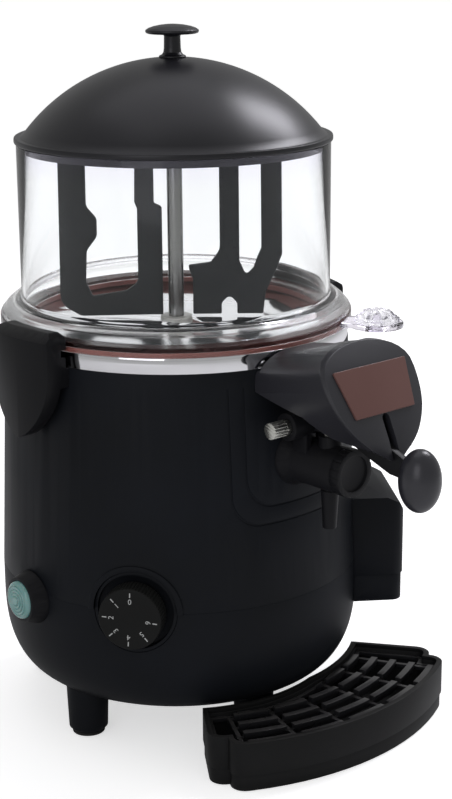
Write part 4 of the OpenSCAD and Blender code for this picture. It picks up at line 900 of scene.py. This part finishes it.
# Nodes that keep their solid's shape: node, piece, rounding in millimetres, material, slot
edgeValues = {"segments": 2, "bevelAngle": 32, "smoothAngle": 40, "flatAngle": 0.4}
dressed = [
    ("lower_base", "lowerBase", 0.5, "housingBlack", "housing_black"),
    ("legs", "legPosts", 0.6, "housingBlack", "housing_black"),
    ("upper_housing", "upperHousing", 0.35, "housingBlack", "housing_black"),
    ("foot_pads", "footPads", 0.4, "rubberBlack", "rubber"),
    ("heating_dish", "heatingDish", 0.4, "mirrorSteel", "polished_steel"),
    ("bowl_gasket", "bowlGasket", 0.4, "siliconeRed", "silicone"),
    ("drive_shaft", "driveShaft", 0.5, "shaftSteel", "polished_steel"),
    ("tap_barrel", "tapBarrel", 0.8, "capBlack", "housing_black"),
    ("barrel_cap", "barrelCap", 0.5, "capBlack", "housing_black"),
    ("nozzle", "nozzle", 0.3, "capBlack", "housing_black"),
    ("lever", "leverArm", 0.8, "capBlack", "gloss_black"),
    # the lever ball takes the lighter black with painted highlight
    ("lever_knob", "leverKnob", 0.0, "knobBlackPaintedLight", "gloss_black"),
    ("pivot_pin", "pivotPin", 0.25, "pinSteel", "fastener"),
    # the hood takes the lighter black with painted light
    ("tap_hood", "tapHood", 1.0, "hoodBlackPaintedLight", "housing_black"),
    ("dial_bezel", "dialBezel", 0.5, "housingBlack", "housing_black"),
    ("lamp_bezel", "lampBezel", 0.6, "capBlack", "gloss_black"),
    ("switch_box", "switchBox", 1.0, "housingBlack", "housing_black"),
    ("switch_box_base", "switchBoxBase", 1.0, "housingBlack", "housing_black"),
    ("rocker_frame", "rockerFrame", 0.4, "capBlack", "gloss_black"),
    ("rocker_switch", "rockerSwitch", 0.4, "lidBlack", "gloss_black"),
    ("left_grip", "leftGrip", 1.0, "capBlack", "housing_black"),
    ("right_grip", "rightGrip", 1.0, "capBlack", "housing_black"),
    ("tray_pan", "trayPan", 0.6, "trayBlack", "housing_black"),
    ("tray_frame", "trayFrame", 0.8, "trayBlack", "housing_black"),
    ("tray_grate", "trayGrate", 1.3, "grateBlack", "gloss_black"),
    ("mains_inlet", "mainsInlet", 0.5, "capBlack", "gloss_black"),
]


def mergedCopy(node, name):
    # a node's mesh is loose triangles, so its doubles are merged and its flat faces joined
    work = bmesh.new()
    work.from_mesh(nodeObjects[node].data)
    bmesh.ops.remove_doubles(work, verts=work.verts, dist=3e-6)
    flat = math.radians(edgeValues["flatAngle"])
    bmesh.ops.dissolve_limit(work, angle_limit=flat, verts=work.verts, edges=work.edges)
    mesh = bpy.data.meshes.new(name)
    work.to_mesh(mesh)
    work.free()
    return bpy.data.objects.new(name, mesh)


def roundedNode(node, name, width, materialName, slotName):
    obj = mergedCopy(node, name + "Raw")
    if width:
        bevel = obj.modifiers.new("roundedEdges", "BEVEL")
        bevel.width = mm(width)
        bevel.segments = edgeValues["segments"]
        bevel.limit_method = "ANGLE"
        bevel.angle_limit = math.radians(edgeValues["bevelAngle"])
    obj = applyModifiers(obj, name)
    smoothByAngle(obj.data, edgeValues["smoothAngle"])
    register(obj, bodyOf[node], [node], materialName)


for row in dressed:
    roundedNode(*row)
print("dressed nodes ready:", len(dressed))

# Nodes inside the machine keep their mesh and take a material
insideFinish = {
    "bottom_plate": "sheetSteel", "base_screws": "pinSteel", "water_bath": "sheetSteel",
    "heating_ring": "castMetal", "outlet_pipe": "sheetSteel", "lid_screw": "pinSteel",
    "shaft_seal": "naturalPlastic", "shaft_coupling": "castMetal", "output_shaft": "shaftSteel",
    "gearbox": "castMetal", "motor": "motorPaint", "motor_plate": "sheetSteel", "motor_screws": "pinSteel",
    "valve_plunger": "naturalPlastic", "valve_seal": "siliconeRed", "link_pin": "pinSteel",
    "thermostat": "naturalPlastic", "thermostat_shaft": "shaftSteel", "lamp_holder": "naturalPlastic",
}
for node, materialName in insideFinish.items():
    nodeObjects[node].data.materials.clear()
    nodeObjects[node].data.materials.append(materials[materialName])
print("inside nodes finished:", len(insideFinish))


# Floor: white to the eye where no shadow falls; metres
floorValues = {"reach": 12.0, "under": 0.0004, "colour": (0.86, 0.86, 0.86), "roughness": 0.9, "glow": 0.58}


def buildFloor(v):
    reach, level = v["reach"], -v["under"]
    verts = [(-reach, -reach, level), (reach, -reach, level), (reach, reach, level), (-reach, reach, level)]
    floor = meshObject("floor", verts, [(0, 1, 2, 3)])
    material, tree, shader = newMaterial("paleFloor")
    shader.inputs["Base Color"].default_value = (*v["colour"], 1)
    shader.inputs["Roughness"].default_value = v["roughness"]
    shader.inputs["Specular IOR Level"].default_value = 0.0
    shader.inputs["Emission Color"].default_value = (1, 1, 1, 1)
    seen, _ = sightMask(tree)
    tree.links.new(mathNode(tree, "MULTIPLY", seen, v["glow"]), shader.inputs["Emission Strength"])
    floor.data.materials.append(material)
    bpy.context.scene.collection.objects.link(floor)


buildFloor(floorValues)
bpy.context.scene.view_settings.view_transform = "Standard"
